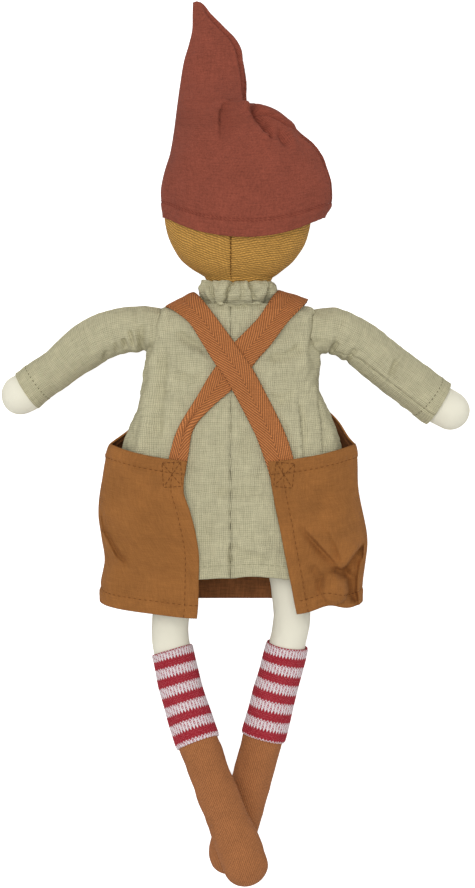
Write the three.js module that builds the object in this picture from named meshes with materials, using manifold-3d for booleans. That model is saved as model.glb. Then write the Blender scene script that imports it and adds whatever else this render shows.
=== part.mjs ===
// A soft cloth elf doll, lying on its front with its legs crossed, in millimetres.
// +Z is up, +Y runs from the feet to the tip of the hat, and +X is the doll's right hand.
// While it is built, y = 0 is the seam that joins the legs to the body, x = 0 is the middle of
// the neck and z = 0 is about the floor. The last lines move the origin under the middle.
import * as THREE from "three";
import { mergeVertices } from "three/addons/utils/BufferGeometryUtils.js";
import Module from "manifold-3d";

const wasm = await Module();
wasm.setup();

// Cloth
const skinThick = 1.0;
const hairThick = 1.0;
const jerseyThick = 1.2;
const gauzeThick = 1.2;
const apronThick = 1.2;
const tapeThick = 1.0;
const knitThick = 1.4;
const clearance = 0.4;
const seamGap = 0.3;
const skinToFilling = 0.5;

// Head
const headWide = 79;
const headDeep = 64;
const headMiddleX = 1.2;
const headMiddleY = 175.5;
const headMiddleZ = 32;
const headAbove = 42;
const headBelow = 38;
const crownPower = 2.2;
const chinPower = 2.05;
const faceSeamDrop = 5.6;
const eyeWide = 4.2;
const eyeTall = 5.6;
const eyeThick = 1.2;
const eyeApart = 29;
const eyeBelowMiddle = 3;

// Neck and collar
const neckWide = 32;
const neckDeep = 28;
const neckPivotY = 118;
const neckMiddleX = 1.6;
const collarTall = 14.5;
const collarFlare = 2.6;
const collarGathers = 8;
const collarRuffle = 1.3;
const elasticThick = 1.2;

// Body
const bodyMiddleZ = 26;
const bodyTall = 124;
const bodyWide = 80;
const bodyDeep = 39;
const bodySeamDeep = 3;
const bodyTopWide = 52;
const bodyTopDeep = 24;

// Arms
const shoulderY = 113.9;
const leftShoulderX = -42.7;
const rightShoulderX = 45.4;
const armWide = 21.4;
const armDeep = 21.4;
const sleeveWide = 25;

const shoulderClearance = 0.6;
const armSlope = 7;
const armDrop = 15;
const sleeveEnd = 0.86;

// Legs
const legWide = 20;
const legDeep = 20;
const sockWide = 24.4;
const sockSlack = 0.3;
const bootWide = 21.6;
const toeWide = 25;
const toeDeep = 24;
const hipSeamTall = 3;
const hipSeamThick = 2;
const hipSeamWide = 78;
const hipGap = 0.4;
const hipZ = 22;
const leftHipX = -29;
const rightHipX = 27;

// Tunic
const tunicChestWide = 93;
const tunicChestDeep = 45;
const tunicHemWide = 122;
const tunicHemDeep = 45;
const tunicHemY = -20;
const tunicShoulderY = 126;
const tunicShoulderWide = 76;
const tunicMiddleX = -1.2;
const tunicFoldCount = 8;
const tunicFoldDeep = 1.5;
const backSeamX = -3;

// Apron
const apronMiddleX = -3;
const apronWaistWide = 134;
const apronSkirtWide = 145;
const apronHemWide = 142;
const apronBibWide = 99;
const apronDeep = 55;
const apronWaistY = 51.8;
const apronHemY = -32.4;
const apronBackDrop = 7;
const bibTopY = 100;
const bibTopWide = 58;
const panelTopDrop = 10;
const leftPanelEdgeTop = -26.5;
const leftPanelEdgeHem = -20.5;
const rightPanelEdgeTop = 17.5;
const rightPanelEdgeHem = 33;

// Straps
const tapeWide = 14.6;
const strapUnderPanel = 15;

// Hat
const hatHemY = 173.9;
const hatTipY = 291.2;
const hatBackDrop = 12;
const hatFrontRise = 5;
const hatSlack = 0.6;

const white = 0xe9e6d8;
const material = (color, roughness) => new THREE.MeshStandardMaterial({ color, roughness, metalness: 0 });
const cottonSkin = material(white, 0.9);
const filling = material(0xf3f1ea, 1.0);
const hairTwill = material(0xa67832, 0.9);
const hatJersey = material(0x8f4739, 0.9);
const gauze = material(0xadaa8c, 0.95);
const apronCotton = material(0x976437, 0.9);
const bootCotton = material(0xa3683f, 0.9);
const strapTape = material(0xb56c41, 0.9);
const stripedKnit = material(0xb8324a, 0.95);
const eyeThread = material(0x2d2521, 0.7);
const elasticBand = material(0xd9d5c8, 0.8);
const seamTape = material(0xddd8c6, 0.9);

// Solids from rings. Each ring is a list of points, and a ring of one point is a pole. A run
// that ends on a full ring is capped there, and a loop joins its last ring to its first.
function solidFromRings(rings, loop = false) {
  const points = [];
  const faces = [];
  const starts = rings.map((ring) => points.push(...ring) - ring.length);
  const join = (a, b) => {
    const count = Math.max(rings[a].length, rings[b].length);
    const at = (r, i) => starts[r] + (rings[r].length === 1 ? 0 : i % count);
    for (let i = 0; i < count; i++) {
      if (rings[a].length > 1) faces.push([at(a, i), at(a, i + 1), at(b, i)]);
      if (rings[b].length > 1) faces.push([at(a, i + 1), at(b, i + 1), at(b, i)]);
    }
  };
  for (let r = 0; r + 1 < rings.length; r++) join(r, r + 1);
  if (loop) join(rings.length - 1, 0);
  const cap = (r, outward) => {
    const ring = rings[r];
    if (loop || ring.length === 1) return;
    const middle = ring.reduce((sum, p) => sum.add(p), new THREE.Vector3()).divideScalar(ring.length);
    const hub = points.push(middle) - 1;
    ring.forEach((_, i) => {
      const pair = [starts[r] + i, starts[r] + ((i + 1) % ring.length)];
      faces.push(outward ? [...pair, hub] : [pair[1], pair[0], hub]);
    });
  };
  cap(0, false);
  cap(rings.length - 1, true);
  return solidFromFaces(points, faces);
}

function solidFromFaces(points, faces) {
  const volume = faces.reduce((sum, [a, b, c]) => {
    return sum + points[a].dot(new THREE.Vector3().crossVectors(points[b], points[c]));
  }, 0);
  const ordered = volume < 0 ? faces.map(([a, b, c]) => [a, c, b]) : faces;
  const geometry = new THREE.BufferGeometry().setFromPoints(points);
  geometry.setIndex(ordered.flat());
  return toSolid(geometry);
}

function toSolid(geometry) {
  const bare = geometry.clone();
  bare.deleteAttribute("normal");
  bare.deleteAttribute("uv");
  const merged = mergeVertices(bare, 1e-4);
  return new wasm.Manifold(
    new wasm.Mesh({
      numProp: 3,
      vertProperties: new Float32Array(merged.attributes.position.array),
      triVerts: new Uint32Array(merged.index.array),
    }),
  );
}

// Cuts leave slivers, so edges shorter than this are closed up.
const shortestEdge = 0.02;
function toGeometry(solid) {
  const mesh = solid.simplify(shortestEdge).getMesh();
  const geometry = new THREE.BufferGeometry();
  geometry.setAttribute("position", new THREE.BufferAttribute(mesh.vertProperties, 3));
  geometry.setIndex(new THREE.BufferAttribute(mesh.triVerts, 1));
  return geometry;
}

const far = 400;
function block(low, high) {
  const size = low.map((l, i) => high[i] - l);
  const box = new THREE.BoxGeometry(...size);
  box.translate(...low.map((l, i) => l + size[i] / 2));
  return toSolid(box);
}

function ball(middle, radius) {
  const sphere = new THREE.SphereGeometry(radius, 18, 10);
  sphere.translate(middle.x, middle.y, middle.z);
  return toSolid(sphere);
}

// One point of a rounded-box outline: power 2 is an ellipse and more is squarer.
function outline(angle, halfWide, halfDeep, power) {
  const c = Math.cos(angle);
  const s = Math.sin(angle);
  const x = Math.sign(c) * Math.abs(c) ** (2 / power) * halfWide;
  const z = Math.sign(s) * Math.abs(s) ** (2 / power) * halfDeep;
  return [x, z];
}

// A smooth value through stations, each [place, value], along one direction.
function smooth(stations) {
  const last = stations.length - 1;
  const slope = (i) => {
    const a = stations[Math.max(i - 1, 0)];
    const b = stations[Math.min(i + 1, last)];
    return (b[1] - a[1]) / (b[0] - a[0]);
  };
  return (place) => {
    const i = Math.max(0, Math.min(last - 1, stations.findLastIndex(([at]) => at <= place)));
    const [x0, y0] = stations[i];
    const [x1, y1] = stations[i + 1];
    const span = x1 - x0;
    const t = Math.min(1, Math.max(0, (place - x0) / span));
    const ends = y0 * (1 + 2 * t) * (1 - t) ** 2 + y1 * t * t * (3 - 2 * t);
    return ends + span * t * (1 - t) * (slope(i) * (1 - t) - slope(i + 1) * t);
  };
}

// An upright form: its sections are level rings across y. grow moves the whole wall outwards.
function section(form, y, grow, sides, wave = () => 0) {
  return Array.from({ length: sides }, (_, i) => {
    const angle = (2 * Math.PI * i) / sides;
    const more = grow + wave(angle, y);
    const [x, z] = outline(angle, form.halfWide(y) + more, form.halfDeep(y) + more, form.power);
    return new THREE.Vector3(form.middleX(y) + x, y + (form.lift?.(angle, y) ?? 0), form.middleZ(y) + z);
  });
}

const steps = (from, to, count) => Array.from({ length: count + 1 }, (_, i) => from + ((to - from) * i) / count);

// A limb: stations of [x, y, z, wide, deep] that a tube follows.
function limb(stations) {
  const last = stations.length - 1;
  const channel = (k) => smooth(stations.map((s, i) => [i / last, s[k]]));
  const [x, y, z, wide, deep] = [0, 1, 2, 3, 4].map(channel);
  const point = (u) => new THREE.Vector3(x(u), y(u), z(u));
  const frame = (u) => {
    const along = point(Math.min(1, u + 0.01)).sub(point(Math.max(0, u - 0.01))).normalize();
    const side = new THREE.Vector3().crossVectors(along, new THREE.Vector3(0, 0, 1)).normalize();
    return { along, side, up: new THREE.Vector3().crossVectors(side, along) };
  };
  const ring = (u, grow, sides, ahead = 0, shrink = 1) => {
    const { along, side, up } = frame(u);
    return Array.from({ length: sides }, (_, i) => {
      const angle = (2 * Math.PI * i) / sides;
      const [a, b] = outline(angle, (wide(u) / 2 + grow) * shrink, (deep(u) / 2 + grow) * shrink, 2);
      return point(u).addScaledVector(along, ahead).addScaledVector(side, a).addScaledVector(up, b);
    });
  };
  // Rings that close the far end with a dome, ending on a pole.
  const dome = (u, grow, sides, direction = 1) => {
    const reach = (wide(u) / 2 + grow) * direction;
    const rings = [0.5, 0.8].map((s) => ring(u, grow, sides, reach * s, Math.sqrt(1 - s * s)));
    return [...rings, [point(u).addScaledVector(frame(u).along, reach)]];
  };
  // Rings round a ball at the near end, at shares of its radius behind u, farthest first.
  const ball = (u, grow, sides, shares) => {
    const reach = wide(u) / 2 + grow;
    return shares.map((s) => ring(u, grow, sides, -reach * s, Math.sqrt(1 - s * s)));
  };
  return { point, frame, ring, dome, ball };
}

const limbSides = 10;
function limbRings(form, from, to, grow, count) {
  return steps(from, to, count).map((u) => form.ring(u, grow, limbSides));
}

// A cloth skin over a limb, closed by a dome at its end u = to and open at u = from, or open
// part of the way round a ball there.
function closedSkin(form, from, to, outer, thick, count, ballShares = []) {
  const wall = (grow) => [
    ...form.ball(from, grow, limbSides, ballShares),
    ...limbRings(form, from, to, grow, count),
    ...form.dome(to, grow, limbSides),
  ];
  return solidFromRings([...wall(outer).reverse(), ...wall(outer - thick)]);
}

// A cloth skin closed by a dome at u = from and open at u = to.
function skinFromTop(form, from, to, outer, thick, count) {
  const wall = (grow) => {
    return [...form.dome(from, grow, limbSides, -1).reverse(), ...limbRings(form, from, to, grow, count)];
  };
  return solidFromRings([...wall(outer), ...wall(outer - thick).reverse()]);
}

function openTube(form, from, to, outer, thick, count, ballShares = []) {
  const wall = (grow) => [
    ...form.ball(from, grow, limbSides, ballShares),
    ...limbRings(form, from, to, grow, count),
  ];
  return solidFromRings([...wall(outer), ...wall(outer - thick).reverse()], true);
}

function filled(form, from, to, grow, count, ballShares) {
  return solidFromRings([
    ...form.ball(from, grow, limbSides, ballShares),
    ...limbRings(form, from, to, grow, count),
    ...form.dome(to, grow, limbSides),
  ]);
}

// The apron's front is the lowest thing, so the doll lies on it.
const floorZ = bodyMiddleZ - apronDeep / 2;

// The head
const headTop = headMiddleY + headAbove;
const headShare = (y) => {
  const dy = y - headMiddleY;
  const [reach, power] = dy > 0 ? [headAbove, crownPower] : [headBelow, chinPower];
  return Math.max(0, 1 - Math.min(1, Math.abs(dy) / reach) ** power) ** (1 / power);
};
const headForm = {
  power: 2.1,
  middleX: () => headMiddleX,
  middleZ: () => headMiddleZ,
  halfWide: (y) => (headWide / 2) * headShare(y),
  halfDeep: (y) => (headDeep / 2) * headShare(y),
};
const headLow = neckJoinY();
const headSides = 20;

// Where the head has narrowed to a little more than the neck.
function neckJoinY() {
  const share = (neckWide + 2 * skinThick + 3) / headWide;
  return headMiddleY - headBelow * (1 - share ** chinPower) ** (1 / chinPower);
}

function headWall(inwards) {
  const top = headTop - inwards;
  const levels = [0, 0.12, 0.27, 0.44, 0.61, 0.76, 0.88, 0.955].map((t) => headLow + (top - headLow) * t);
  const rings = levels.map((y) => section(headForm, y, -inwards * (y < headTop - 6 ? 1 : 1.4), headSides));
  return [...rings, [new THREE.Vector3(headMiddleX, top, headMiddleZ)]];
}

const headSkin = solidFromRings([...headWall(0), ...headWall(hairThick).reverse()], true);
const faceSeamZ = headMiddleZ - faceSeamDrop;
const half = seamGap / 2;
const facePanel = headSkin.intersect(block([-far, -far, -far], [far, far, faceSeamZ - half]));
const hairSeamX = headMiddleX - 4;
const hairLeft = headSkin.intersect(block([-far, -far, faceSeamZ + half], [hairSeamX - half, far, far]));
const hairRight = headSkin.intersect(block([hairSeamX + half, -far, faceSeamZ + half], [far, far, far]));
const headFilling = solidFromRings(headWall(hairThick + skinToFilling));

// An embroidered eye, laid on the face with its back just clear of the cloth.
function eye(side) {
  const x = headMiddleX + (side * eyeApart) / 2;
  const y = headMiddleY - eyeBelowMiddle;
  const share = Math.abs(x - headMiddleX) / headForm.halfWide(y);
  const low = headMiddleZ - headForm.halfDeep(y) * (1 - share ** headForm.power) ** (1 / headForm.power);
  const disc = new THREE.SphereGeometry(0.5, 10, 6);
  disc.scale(eyeWide, eyeTall, eyeThick * 2);
  disc.translate(x, y, low);
  return toSolid(disc).subtract(solidFromRings(headWall(-seamGap)));
}

// The neck: a tube whose lower end is round, so that it can nod in the body.
const neckTop = headLow - seamGap;
const neckHalfDeep = neckDeep / 2;
const neckForm = (inwards) => ({
  power: 2.2,
  middleX: () => neckMiddleX,
  middleZ: neckMiddleZ,
  halfWide: () => neckWide / 2 - inwards,
  halfDeep: (y) => Math.sqrt((neckHalfDeep - inwards) ** 2 - Math.min(0, y - neckPivotY) ** 2),
});
const neckSides = 16;
function neckMiddleZ(y) {
  const rise = (headMiddleZ - bodyMiddleZ) / (neckTop - neckPivotY);
  return bodyMiddleZ + rise * Math.max(0, y - neckPivotY);
}
function neckRings(inwards) {
  const round = [0.94, 0.75, 0.45, 0].map((share) => neckPivotY - (neckHalfDeep - inwards) * share);
  const levels = [...round, (neckPivotY + neckTop) / 2, neckTop];
  return levels.map((y) => section(neckForm(inwards), y, 0, neckSides));
}
const neckFilling = solidFromRings(neckRings(skinThick + skinToFilling));
const neckSkin = solidFromRings([...neckRings(0), ...neckRings(skinThick).reverse()], true);

// The stuffed body, which narrows to a flat seam between the legs.
const bodyForm = {
  power: 2.4,
  middleX: () => 0,
  middleZ: smooth([
    [0, hipZ],
    [bodyTall * 0.35, bodyMiddleZ],
    [bodyTall, bodyMiddleZ],
  ]),
  halfWide: smooth([
    [0, bodyWide / 2],
    [bodyTall * 0.25, bodyWide / 2 + 1],
    [bodyTall * 0.6, bodyWide / 2 - 3],
    [bodyTall * 0.88, bodyWide / 2],
    [bodyTall, bodyTopWide / 2],
  ]),
  halfDeep: smooth([
    [0, bodySeamDeep / 2],
    [bodyTall * 0.12, bodyDeep * 0.27],
    [bodyTall * 0.32, bodyDeep * 0.46],
    [bodyTall * 0.6, bodyDeep / 2],
    [bodyTall * 0.88, bodyDeep * 0.46],
    [bodyTall, bodyTopDeep / 2],
  ]),
};
const bodyShares = [0, 0.07, 0.17, 0.32, 0.5, 0.7, 0.88, 0.96, 1];
const bodySides = 20;
const bodyLow = Math.hypot(hipSeamTall, hipSeamThick) / 2 + seamGap;
function bodyRings(inwards) {
  const low = bodyLow + inwards * 1.5;
  return bodyShares.map((s) => {
    const y = low + s * (bodyTall - inwards - low);
    const thin = Math.min(inwards, bodyForm.halfDeep(y) - 0.6);
    return section(bodyForm, y, -thin, bodySides);
  });
}
const neckSocket = (() => {
  const cut = new THREE.CylinderGeometry(neckHalfDeep + clearance, neckHalfDeep + clearance, neckWide + 2 * clearance, 20);
  cut.rotateZ(Math.PI / 2);
  cut.translate(neckMiddleX, neckPivotY, bodyMiddleZ);
  const above = block(
    [neckMiddleX - neckWide / 2 - clearance, neckPivotY - 4, bodyMiddleZ - neckHalfDeep - clearance - 2],
    [neckMiddleX + neckWide / 2 + clearance, far, bodyMiddleZ + neckHalfDeep + clearance + 4],
  );
  return toSolid(cut).add(above);
})();
// An armhole is a ball round the shoulder, and room for the sleeve at rest and when it drops.
function armhole(side) {
  const at = new THREE.Vector3(side < 0 ? leftShoulderX : rightShoulderX, shoulderY, bodyMiddleZ);
  const radius = sleeveWide / 2 + shoulderClearance;
  return [armSlope, armSlope + armDrop].reduce((hole, degrees) => {
    const sleeveRoom = new THREE.CylinderGeometry(radius, radius, sleeveWide, 18);
    sleeveRoom.translate(0, sleeveWide / 2, 0);
    sleeveRoom.rotateZ(-side * (Math.PI / 2 + THREE.MathUtils.degToRad(degrees)));
    sleeveRoom.translate(at.x, at.y, at.z);
    return hole.add(toSolid(sleeveRoom));
  }, ball(at, radius));
}
const armholes = armhole(-1).add(armhole(1));
const bodyHollows = neckSocket.add(armholes);
const bodySkin = solidFromRings(bodyRings(0)).subtract(solidFromRings(bodyRings(skinThick)));
const bodyFront = bodySkin.intersect(block([-far, -far, -far], [far, far, bodySeamZ(-half)])).subtract(bodyHollows);
const bodyBack = bodySkin.intersect(block([-far, -far, bodySeamZ(half)], [far, far, far])).subtract(bodyHollows);
const bodyFilling = solidFromRings(bodyRings(skinThick + skinToFilling)).subtract(bodyHollows);

function bodySeamZ(offset) {
  return (bodyMiddleZ + hipZ) / 2 + offset;
}

// Arms: [x, y, z, wide, deep] from the shoulder to the middle of the hand.
function armForm(side, places) {
  const handDrop = bodyMiddleZ - floorZ - armDeep / 2 - seamGap;
  const drop = [0, 0.07, 0.3, 0.6, 0.83, 0.95, 1].map((share) => handDrop * share);
  const shoulderX = side < 0 ? leftShoulderX : rightShoulderX;
  return limb(
    places.map(([out, down], i) => [shoulderX + side * out, shoulderY - down, bodyMiddleZ - drop[i], armWide, armDeep]),
  );
}
const shoulderBall = [0.85, 0.5];
const leftArm = armForm(-1, [
  [0, 0],
  [10, 1],
  [25.3, 4.3],
  [42.6, 12.4],
  [57.7, 23.7],
  [69.6, 32.4],
  [74.6, 35.5],
]);
const rightArm = armForm(1, [
  [0, 0],
  [9, 1.4],
  [21.3, 7.5],
  [37.2, 19.9],
  [55.6, 33.7],
  [63.4, 39.4],
  [71.2, 43.8],
]);
const armRings = 7;
const armSkin = (form) => closedSkin(form, 0, 1, 0, skinThick, armRings, shoulderBall);
const armFilling = (form) => filled(form, 0, 1, -skinThick - skinToFilling, armRings, shoulderBall);
const sleeveGrow = (sleeveWide - armWide) / 2;
const sleeve = (form) => openTube(form, 0, sleeveEnd, sleeveGrow, gauzeThick, armRings, shoulderBall);

// Legs: [x, y, z, wide, deep] from the hip to the middle of the toe.
const hipSeamLow = -hipSeamTall / 2;
const legTopY = hipSeamLow - hipGap - legWide / 2;
const toeZ = floorZ + toeDeep / 2 + seamGap;
const crossRise = (toeDeep + legDeep) / 2 + clearance;
const leftLeg = limb([
  [leftHipX, legTopY, hipZ, legWide, legDeep],
  [-35.6, -45, hipZ, legWide, legDeep],
  [-33.2, -66, hipZ + 1, legWide, legDeep],
  [-26.6, -91, hipZ + 3, legWide + 0.6, legDeep],
  [-18, -116, hipZ + 7, bootWide, legDeep],
  [-7.4, -143, toeZ + crossRise, toeWide - 3, toeDeep - 3],
  [1, -163.5, toeZ + crossRise + 1, toeWide - 1, toeDeep - 1],
  [5.2, -175.6, toeZ + crossRise + 1, toeWide - 1, toeDeep - 1],
]);
const rightLeg = limb([
  [rightHipX, legTopY, hipZ, legWide, legDeep],
  [30.4, -39, hipZ - 2, legWide, legDeep],
  [26.6, -62, hipZ - 6, legWide, legDeep],
  [20, -87, toeZ + 2, legWide + 0.6, legDeep],
  [13.4, -113, toeZ - 1, bootWide, legDeep],
  [6, -139, toeZ - 1, toeWide - 3, toeDeep - 3],
  [-0.5, -159, toeZ, toeWide - 2, toeDeep - 1],
  [-3.2, -168.5, toeZ, toeWide - 2, toeDeep],
]);
const sockFrom = 0.24;
const sockTo = 0.535;
const bootFrom = 0.485;
const seamShare = 0.004;
const legRings = 6;
const hipBall = [0.95, 0.8, 0.5];
const legSkin = (form) => skinFromTop(form, 0, bootFrom - seamShare, 0, skinThick, legRings);
const bootSkin = (form) => closedSkin(form, bootFrom, 1, 0, skinThick, legRings);
const legFilling = (form) => filled(form, 0, 1, -skinThick - skinToFilling, 2 * legRings, hipBall);
const sockGrow = (sockWide - legWide) / 2 - sockSlack;
const sock = (form) => openTube(form, sockFrom, sockTo, sockGrow, knitThick, 4);
const hipSeam = block(
  [-hipSeamWide / 2, -hipSeamTall / 2, hipZ - hipSeamThick / 2],
  [hipSeamWide / 2, hipSeamTall / 2, hipZ + hipSeamThick / 2],
);

// The tunic hangs from its gathered neck in soft folds that deepen towards the hem.
const tunicTall = tunicShoulderY - tunicHemY;
const tunicForm = {
  power: 2.5,
  middleX: () => tunicMiddleX,
  middleZ: () => bodyMiddleZ,
  halfWide: smooth([
    [tunicHemY, tunicHemWide / 2],
    [tunicHemY + tunicTall * 0.42, tunicHemWide / 2 - 1],
    [tunicHemY + tunicTall * 0.6, tunicChestWide / 2 + 5],
    [tunicHemY + tunicTall * 0.75, tunicChestWide / 2 + 0.5],
    [tunicHemY + tunicTall * 0.88, tunicChestWide / 2 - 2],
    [tunicShoulderY - 3, tunicShoulderWide / 2],
    [tunicShoulderY, tunicShoulderWide / 2 - 13],
  ]),
  halfDeep: smooth([
    [tunicHemY, tunicHemDeep / 2],
    [tunicHemY + tunicTall * 0.5, tunicChestDeep / 2],
    [tunicHemY + tunicTall * 0.85, tunicChestDeep / 2 - 0.5],
    [tunicShoulderY - 3, tunicChestDeep / 2 - 2],
    [tunicShoulderY, tunicChestDeep / 2 - 4],
  ]),
};
const hang = (y) => Math.max(0, (tunicShoulderY - y) / tunicTall) ** 2;
const tunicWave = (angle, y) => tunicFoldDeep * hang(y) * Math.cos(tunicFoldCount * angle);
const tunicShares = [0, 0.15, 0.3, 0.45, 0.58, 0.7, 0.82, 0.91, 0.97, 1];
const tunicSides = 32;
const neckHoleWide = neckWide / 2 + 4;
const neckHoleDeep = neckDeep / 2 + 4.6;
function tunicRings(outwards, wave = tunicWave) {
  const rings = tunicShares.map((s) => section(tunicForm, tunicHemY + s * tunicTall, outwards, tunicSides, wave));
  const top = Array.from({ length: tunicSides }, (_, i) => {
    const angle = (2 * Math.PI * i) / tunicSides;
    const [x, z] = outline(angle, neckHoleWide, neckHoleDeep, 2.2);
    const y = tunicShoulderY + 1 + outwards;
    return new THREE.Vector3(neckMiddleX + x, y, neckMiddleZ(tunicShoulderY) + z);
  });
  return [...rings, top];
}
const tunicWall = solidFromRings([...tunicRings(0), ...tunicRings(-gauzeThick).reverse()], true).subtract(armholes);
const tunicFront = tunicWall.intersect(block([-far, -far, -far], [far, far, bodyMiddleZ - half]));
const backBlock = (from, to) => block([from, -far, bodyMiddleZ + half], [to, far, far]);
const tunicBackLeft = tunicWall.intersect(backBlock(-far, backSeamX - half));
const tunicBackRight = tunicWall.intersect(backBlock(backSeamX + half, far));

// The gathered collar, with the elastic that draws it in round the neck.
const collarLow = tunicShoulderY + 1 + seamGap;
const collarSides = collarGathers * 4;
function collarRing(y, outwards, flare) {
  return Array.from({ length: collarSides }, (_, i) => {
    const angle = (2 * Math.PI * i) / collarSides;
    const ruffle = collarRuffle * Math.cos(collarGathers * angle);
    const wide = neckWide / 2 + clearance + outwards + flare + collarRuffle + ruffle;
    const deep = neckDeep / 2 + clearance + outwards + flare + collarRuffle + ruffle;
    const [x, z] = outline(angle, wide, deep, 2);
    return new THREE.Vector3(neckMiddleX + x, y, neckMiddleZ(y) + z);
  });
}
const collarTop = Math.min(collarLow + collarTall, headLow - seamGap);
const collarSteps = [
  [collarLow, collarFlare],
  [collarLow + (collarTop - collarLow) * 0.3, collarFlare * 0.75],
  [collarLow + (collarTop - collarLow) * 0.65, collarFlare],
  [collarTop, collarFlare * 0.5],
];
const collarWall = (outwards) => collarSteps.map(([y, flare]) => collarRing(y, outwards, flare));
const collar = solidFromRings([...collarWall(gauzeThick), ...collarWall(0).reverse()], true);
const collarRoom = (() => {
  const outwards = gauzeThick + clearance;
  const under = collarRing(collarLow - 2 * (tapeThick + clearance) - seamGap, outwards, collarFlare);
  return solidFromRings([under, ...collarWall(outwards)]);
})();
const elasticY = collarLow + (collarTop - collarLow) * 0.3;
const elastic = (() => {
  const ring = (y, outwards) => {
    return Array.from({ length: neckSides }, (_, i) => {
      const angle = (2 * Math.PI * i) / neckSides;
      const [x, z] = outline(angle, neckWide / 2 + outwards, neckDeep / 2 + outwards, 2.2);
      return new THREE.Vector3(neckMiddleX + x, y, neckMiddleZ(elasticY) + z);
    });
  };
  const out = clearance + elasticThick;
  const low = elasticY - elasticThick / 2;
  const high = elasticY + elasticThick / 2;
  return solidFromRings([ring(low, clearance), ring(low, out), ring(high, out), ring(high, clearance)], true);
})();

// The apron: one wide cloth that wraps the front and both sides and stays open at the back.
const apronForm = {
  power: 2.3,
  middleX: () => apronMiddleX,
  middleZ: () => bodyMiddleZ,
  halfWide: smooth([
    [apronHemY - apronBackDrop, apronHemWide / 2],
    [apronHemY + 45, apronSkirtWide / 2],
    [apronWaistY, apronWaistWide / 2],
    [apronWaistY + 25, apronBibWide / 2 + 3],
    [bibTopY, apronBibWide / 2],
  ]),
  halfDeep: smooth([
    [apronHemY - apronBackDrop, apronDeep / 2],
    [apronWaistY, apronDeep / 2],
    [bibTopY, apronDeep / 2 - 0.5],
  ]),
};
// The angle at which the outline reaches x on the doll's back, counted from its right side.
function angleAt(x, y) {
  const share = (x - apronMiddleX) / apronForm.halfWide(y);
  return Math.acos(Math.sign(share) * Math.abs(share) ** (apronForm.power / 2));
}
const bibReach = bibTopWide / apronBibWide;
function apronTop(angle) {
  const acrossFront = Math.abs(Math.cos(angle));
  if (Math.sin(angle) >= 0) return apronWaistY - panelTopDrop * Math.sin(angle) ** 2;
  const fall = Math.min(1, Math.max(0, (acrossFront - bibReach) / (1 - bibReach)));
  return bibTopY - (bibTopY - apronWaistY) * fall ** 1.4;
}
function apronHem(angle) {
  return apronHemY - apronBackDrop * Math.max(0, Math.sin(angle)) ** 0.5;
}
const apronAcross = 30;
const apronRows = 6;
function apronGrid(outwards) {
  return steps(0, 1, apronAcross).map((s) => {
    return steps(0, 1, apronRows).map((v) => {
      const edgeY = apronHemY + v * (apronWaistY - apronHemY);
      const from = angleAt(rightPanelEdgeHem + v * (rightPanelEdgeTop - rightPanelEdgeHem), edgeY);
      const to = angleAt(leftPanelEdgeHem + v * (leftPanelEdgeTop - leftPanelEdgeHem), edgeY) - 2 * Math.PI;
      const angle = from + (to - from) * s;
      const y = apronHem(angle) + v * (apronTop(angle) - apronHem(angle));
      const [x, z] = outline(angle, apronForm.halfWide(y) + outwards, apronForm.halfDeep(y) + outwards, apronForm.power);
      return new THREE.Vector3(apronMiddleX + x, y, bodyMiddleZ + z);
    });
  });
}

// A solid sheet between two grids of points that share their rows and columns.
function sheet(outer, inner) {
  const columns = outer.length;
  const rows = outer[0].length;
  const points = [...outer.flat(), ...inner.flat()];
  const at = (layer, i, j) => layer * columns * rows + i * rows + j;
  const faces = [];
  const quad = (a, b, c, d) => faces.push([a, b, c], [a, c, d]);
  for (let i = 0; i + 1 < columns; i++) {
    for (let j = 0; j + 1 < rows; j++) {
      quad(at(0, i, j), at(0, i + 1, j), at(0, i + 1, j + 1), at(0, i, j + 1));
      quad(at(1, i, j + 1), at(1, i + 1, j + 1), at(1, i + 1, j), at(1, i, j));
    }
    quad(at(0, i + 1, 0), at(0, i, 0), at(1, i, 0), at(1, i + 1, 0));
    quad(at(0, i, rows - 1), at(0, i + 1, rows - 1), at(1, i + 1, rows - 1), at(1, i, rows - 1));
  }
  for (let j = 0; j + 1 < rows; j++) {
    quad(at(0, 0, j), at(0, 0, j + 1), at(1, 0, j + 1), at(1, 0, j));
    const last = columns - 1;
    quad(at(0, last, j + 1), at(0, last, j), at(1, last, j), at(1, last, j + 1));
  }
  return solidFromFaces(points, faces);
}
const apron = sheet(apronGrid(0), apronGrid(-apronThick));

// The straps lie on the tunic: each is a layer of tape cut out by its path seen from behind.
const tapePoints = 8;
function tapePrism(path, width, lowZ, highZ) {
  const curve = new THREE.CatmullRomCurve3(path.map(([x, y]) => new THREE.Vector3(x, y, 0)));
  const middle = curve.getPoints(tapePoints);
  const edge = (side) => {
    return middle.map((p, i) => {
      const ahead = middle[Math.min(i + 1, middle.length - 1)];
      const behind = middle[Math.max(i - 1, 0)];
      const along = ahead.clone().sub(behind).normalize();
      return new THREE.Vector2(p.x - (along.y * side * width) / 2, p.y + (along.x * side * width) / 2);
    });
  };
  const shape = new THREE.Shape([...edge(1), ...edge(-1).reverse()]);
  const prism = new THREE.ExtrudeGeometry(shape, { depth: highZ - lowZ, bevelEnabled: false });
  prism.translate(0, 0, lowZ);
  return toSolid(prism);
}
function tapeLayer(layer) {
  const low = clearance + layer * (tapeThick + clearance);
  return solidFromRings(tunicRings(low + tapeThick)).subtract(solidFromRings(tunicRings(low)));
}
function strap(layer, backPath, frontPath) {
  const back = tapePrism(backPath, tapeWide, bodyMiddleZ, far);
  const front = tapePrism(frontPath, tapeWide, -far, bodyMiddleZ);
  return tapeLayer(layer).intersect(back.add(front)).subtract(collarRoom).subtract(armholes);
}
const strapEndY = apronWaistY - panelTopDrop - strapUnderPanel;
const bibStrapX = bibTopWide / 2 - tapeWide / 2;
const shoulderStrapX = 31.5;
const overTop = tunicShoulderY + 8;
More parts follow.
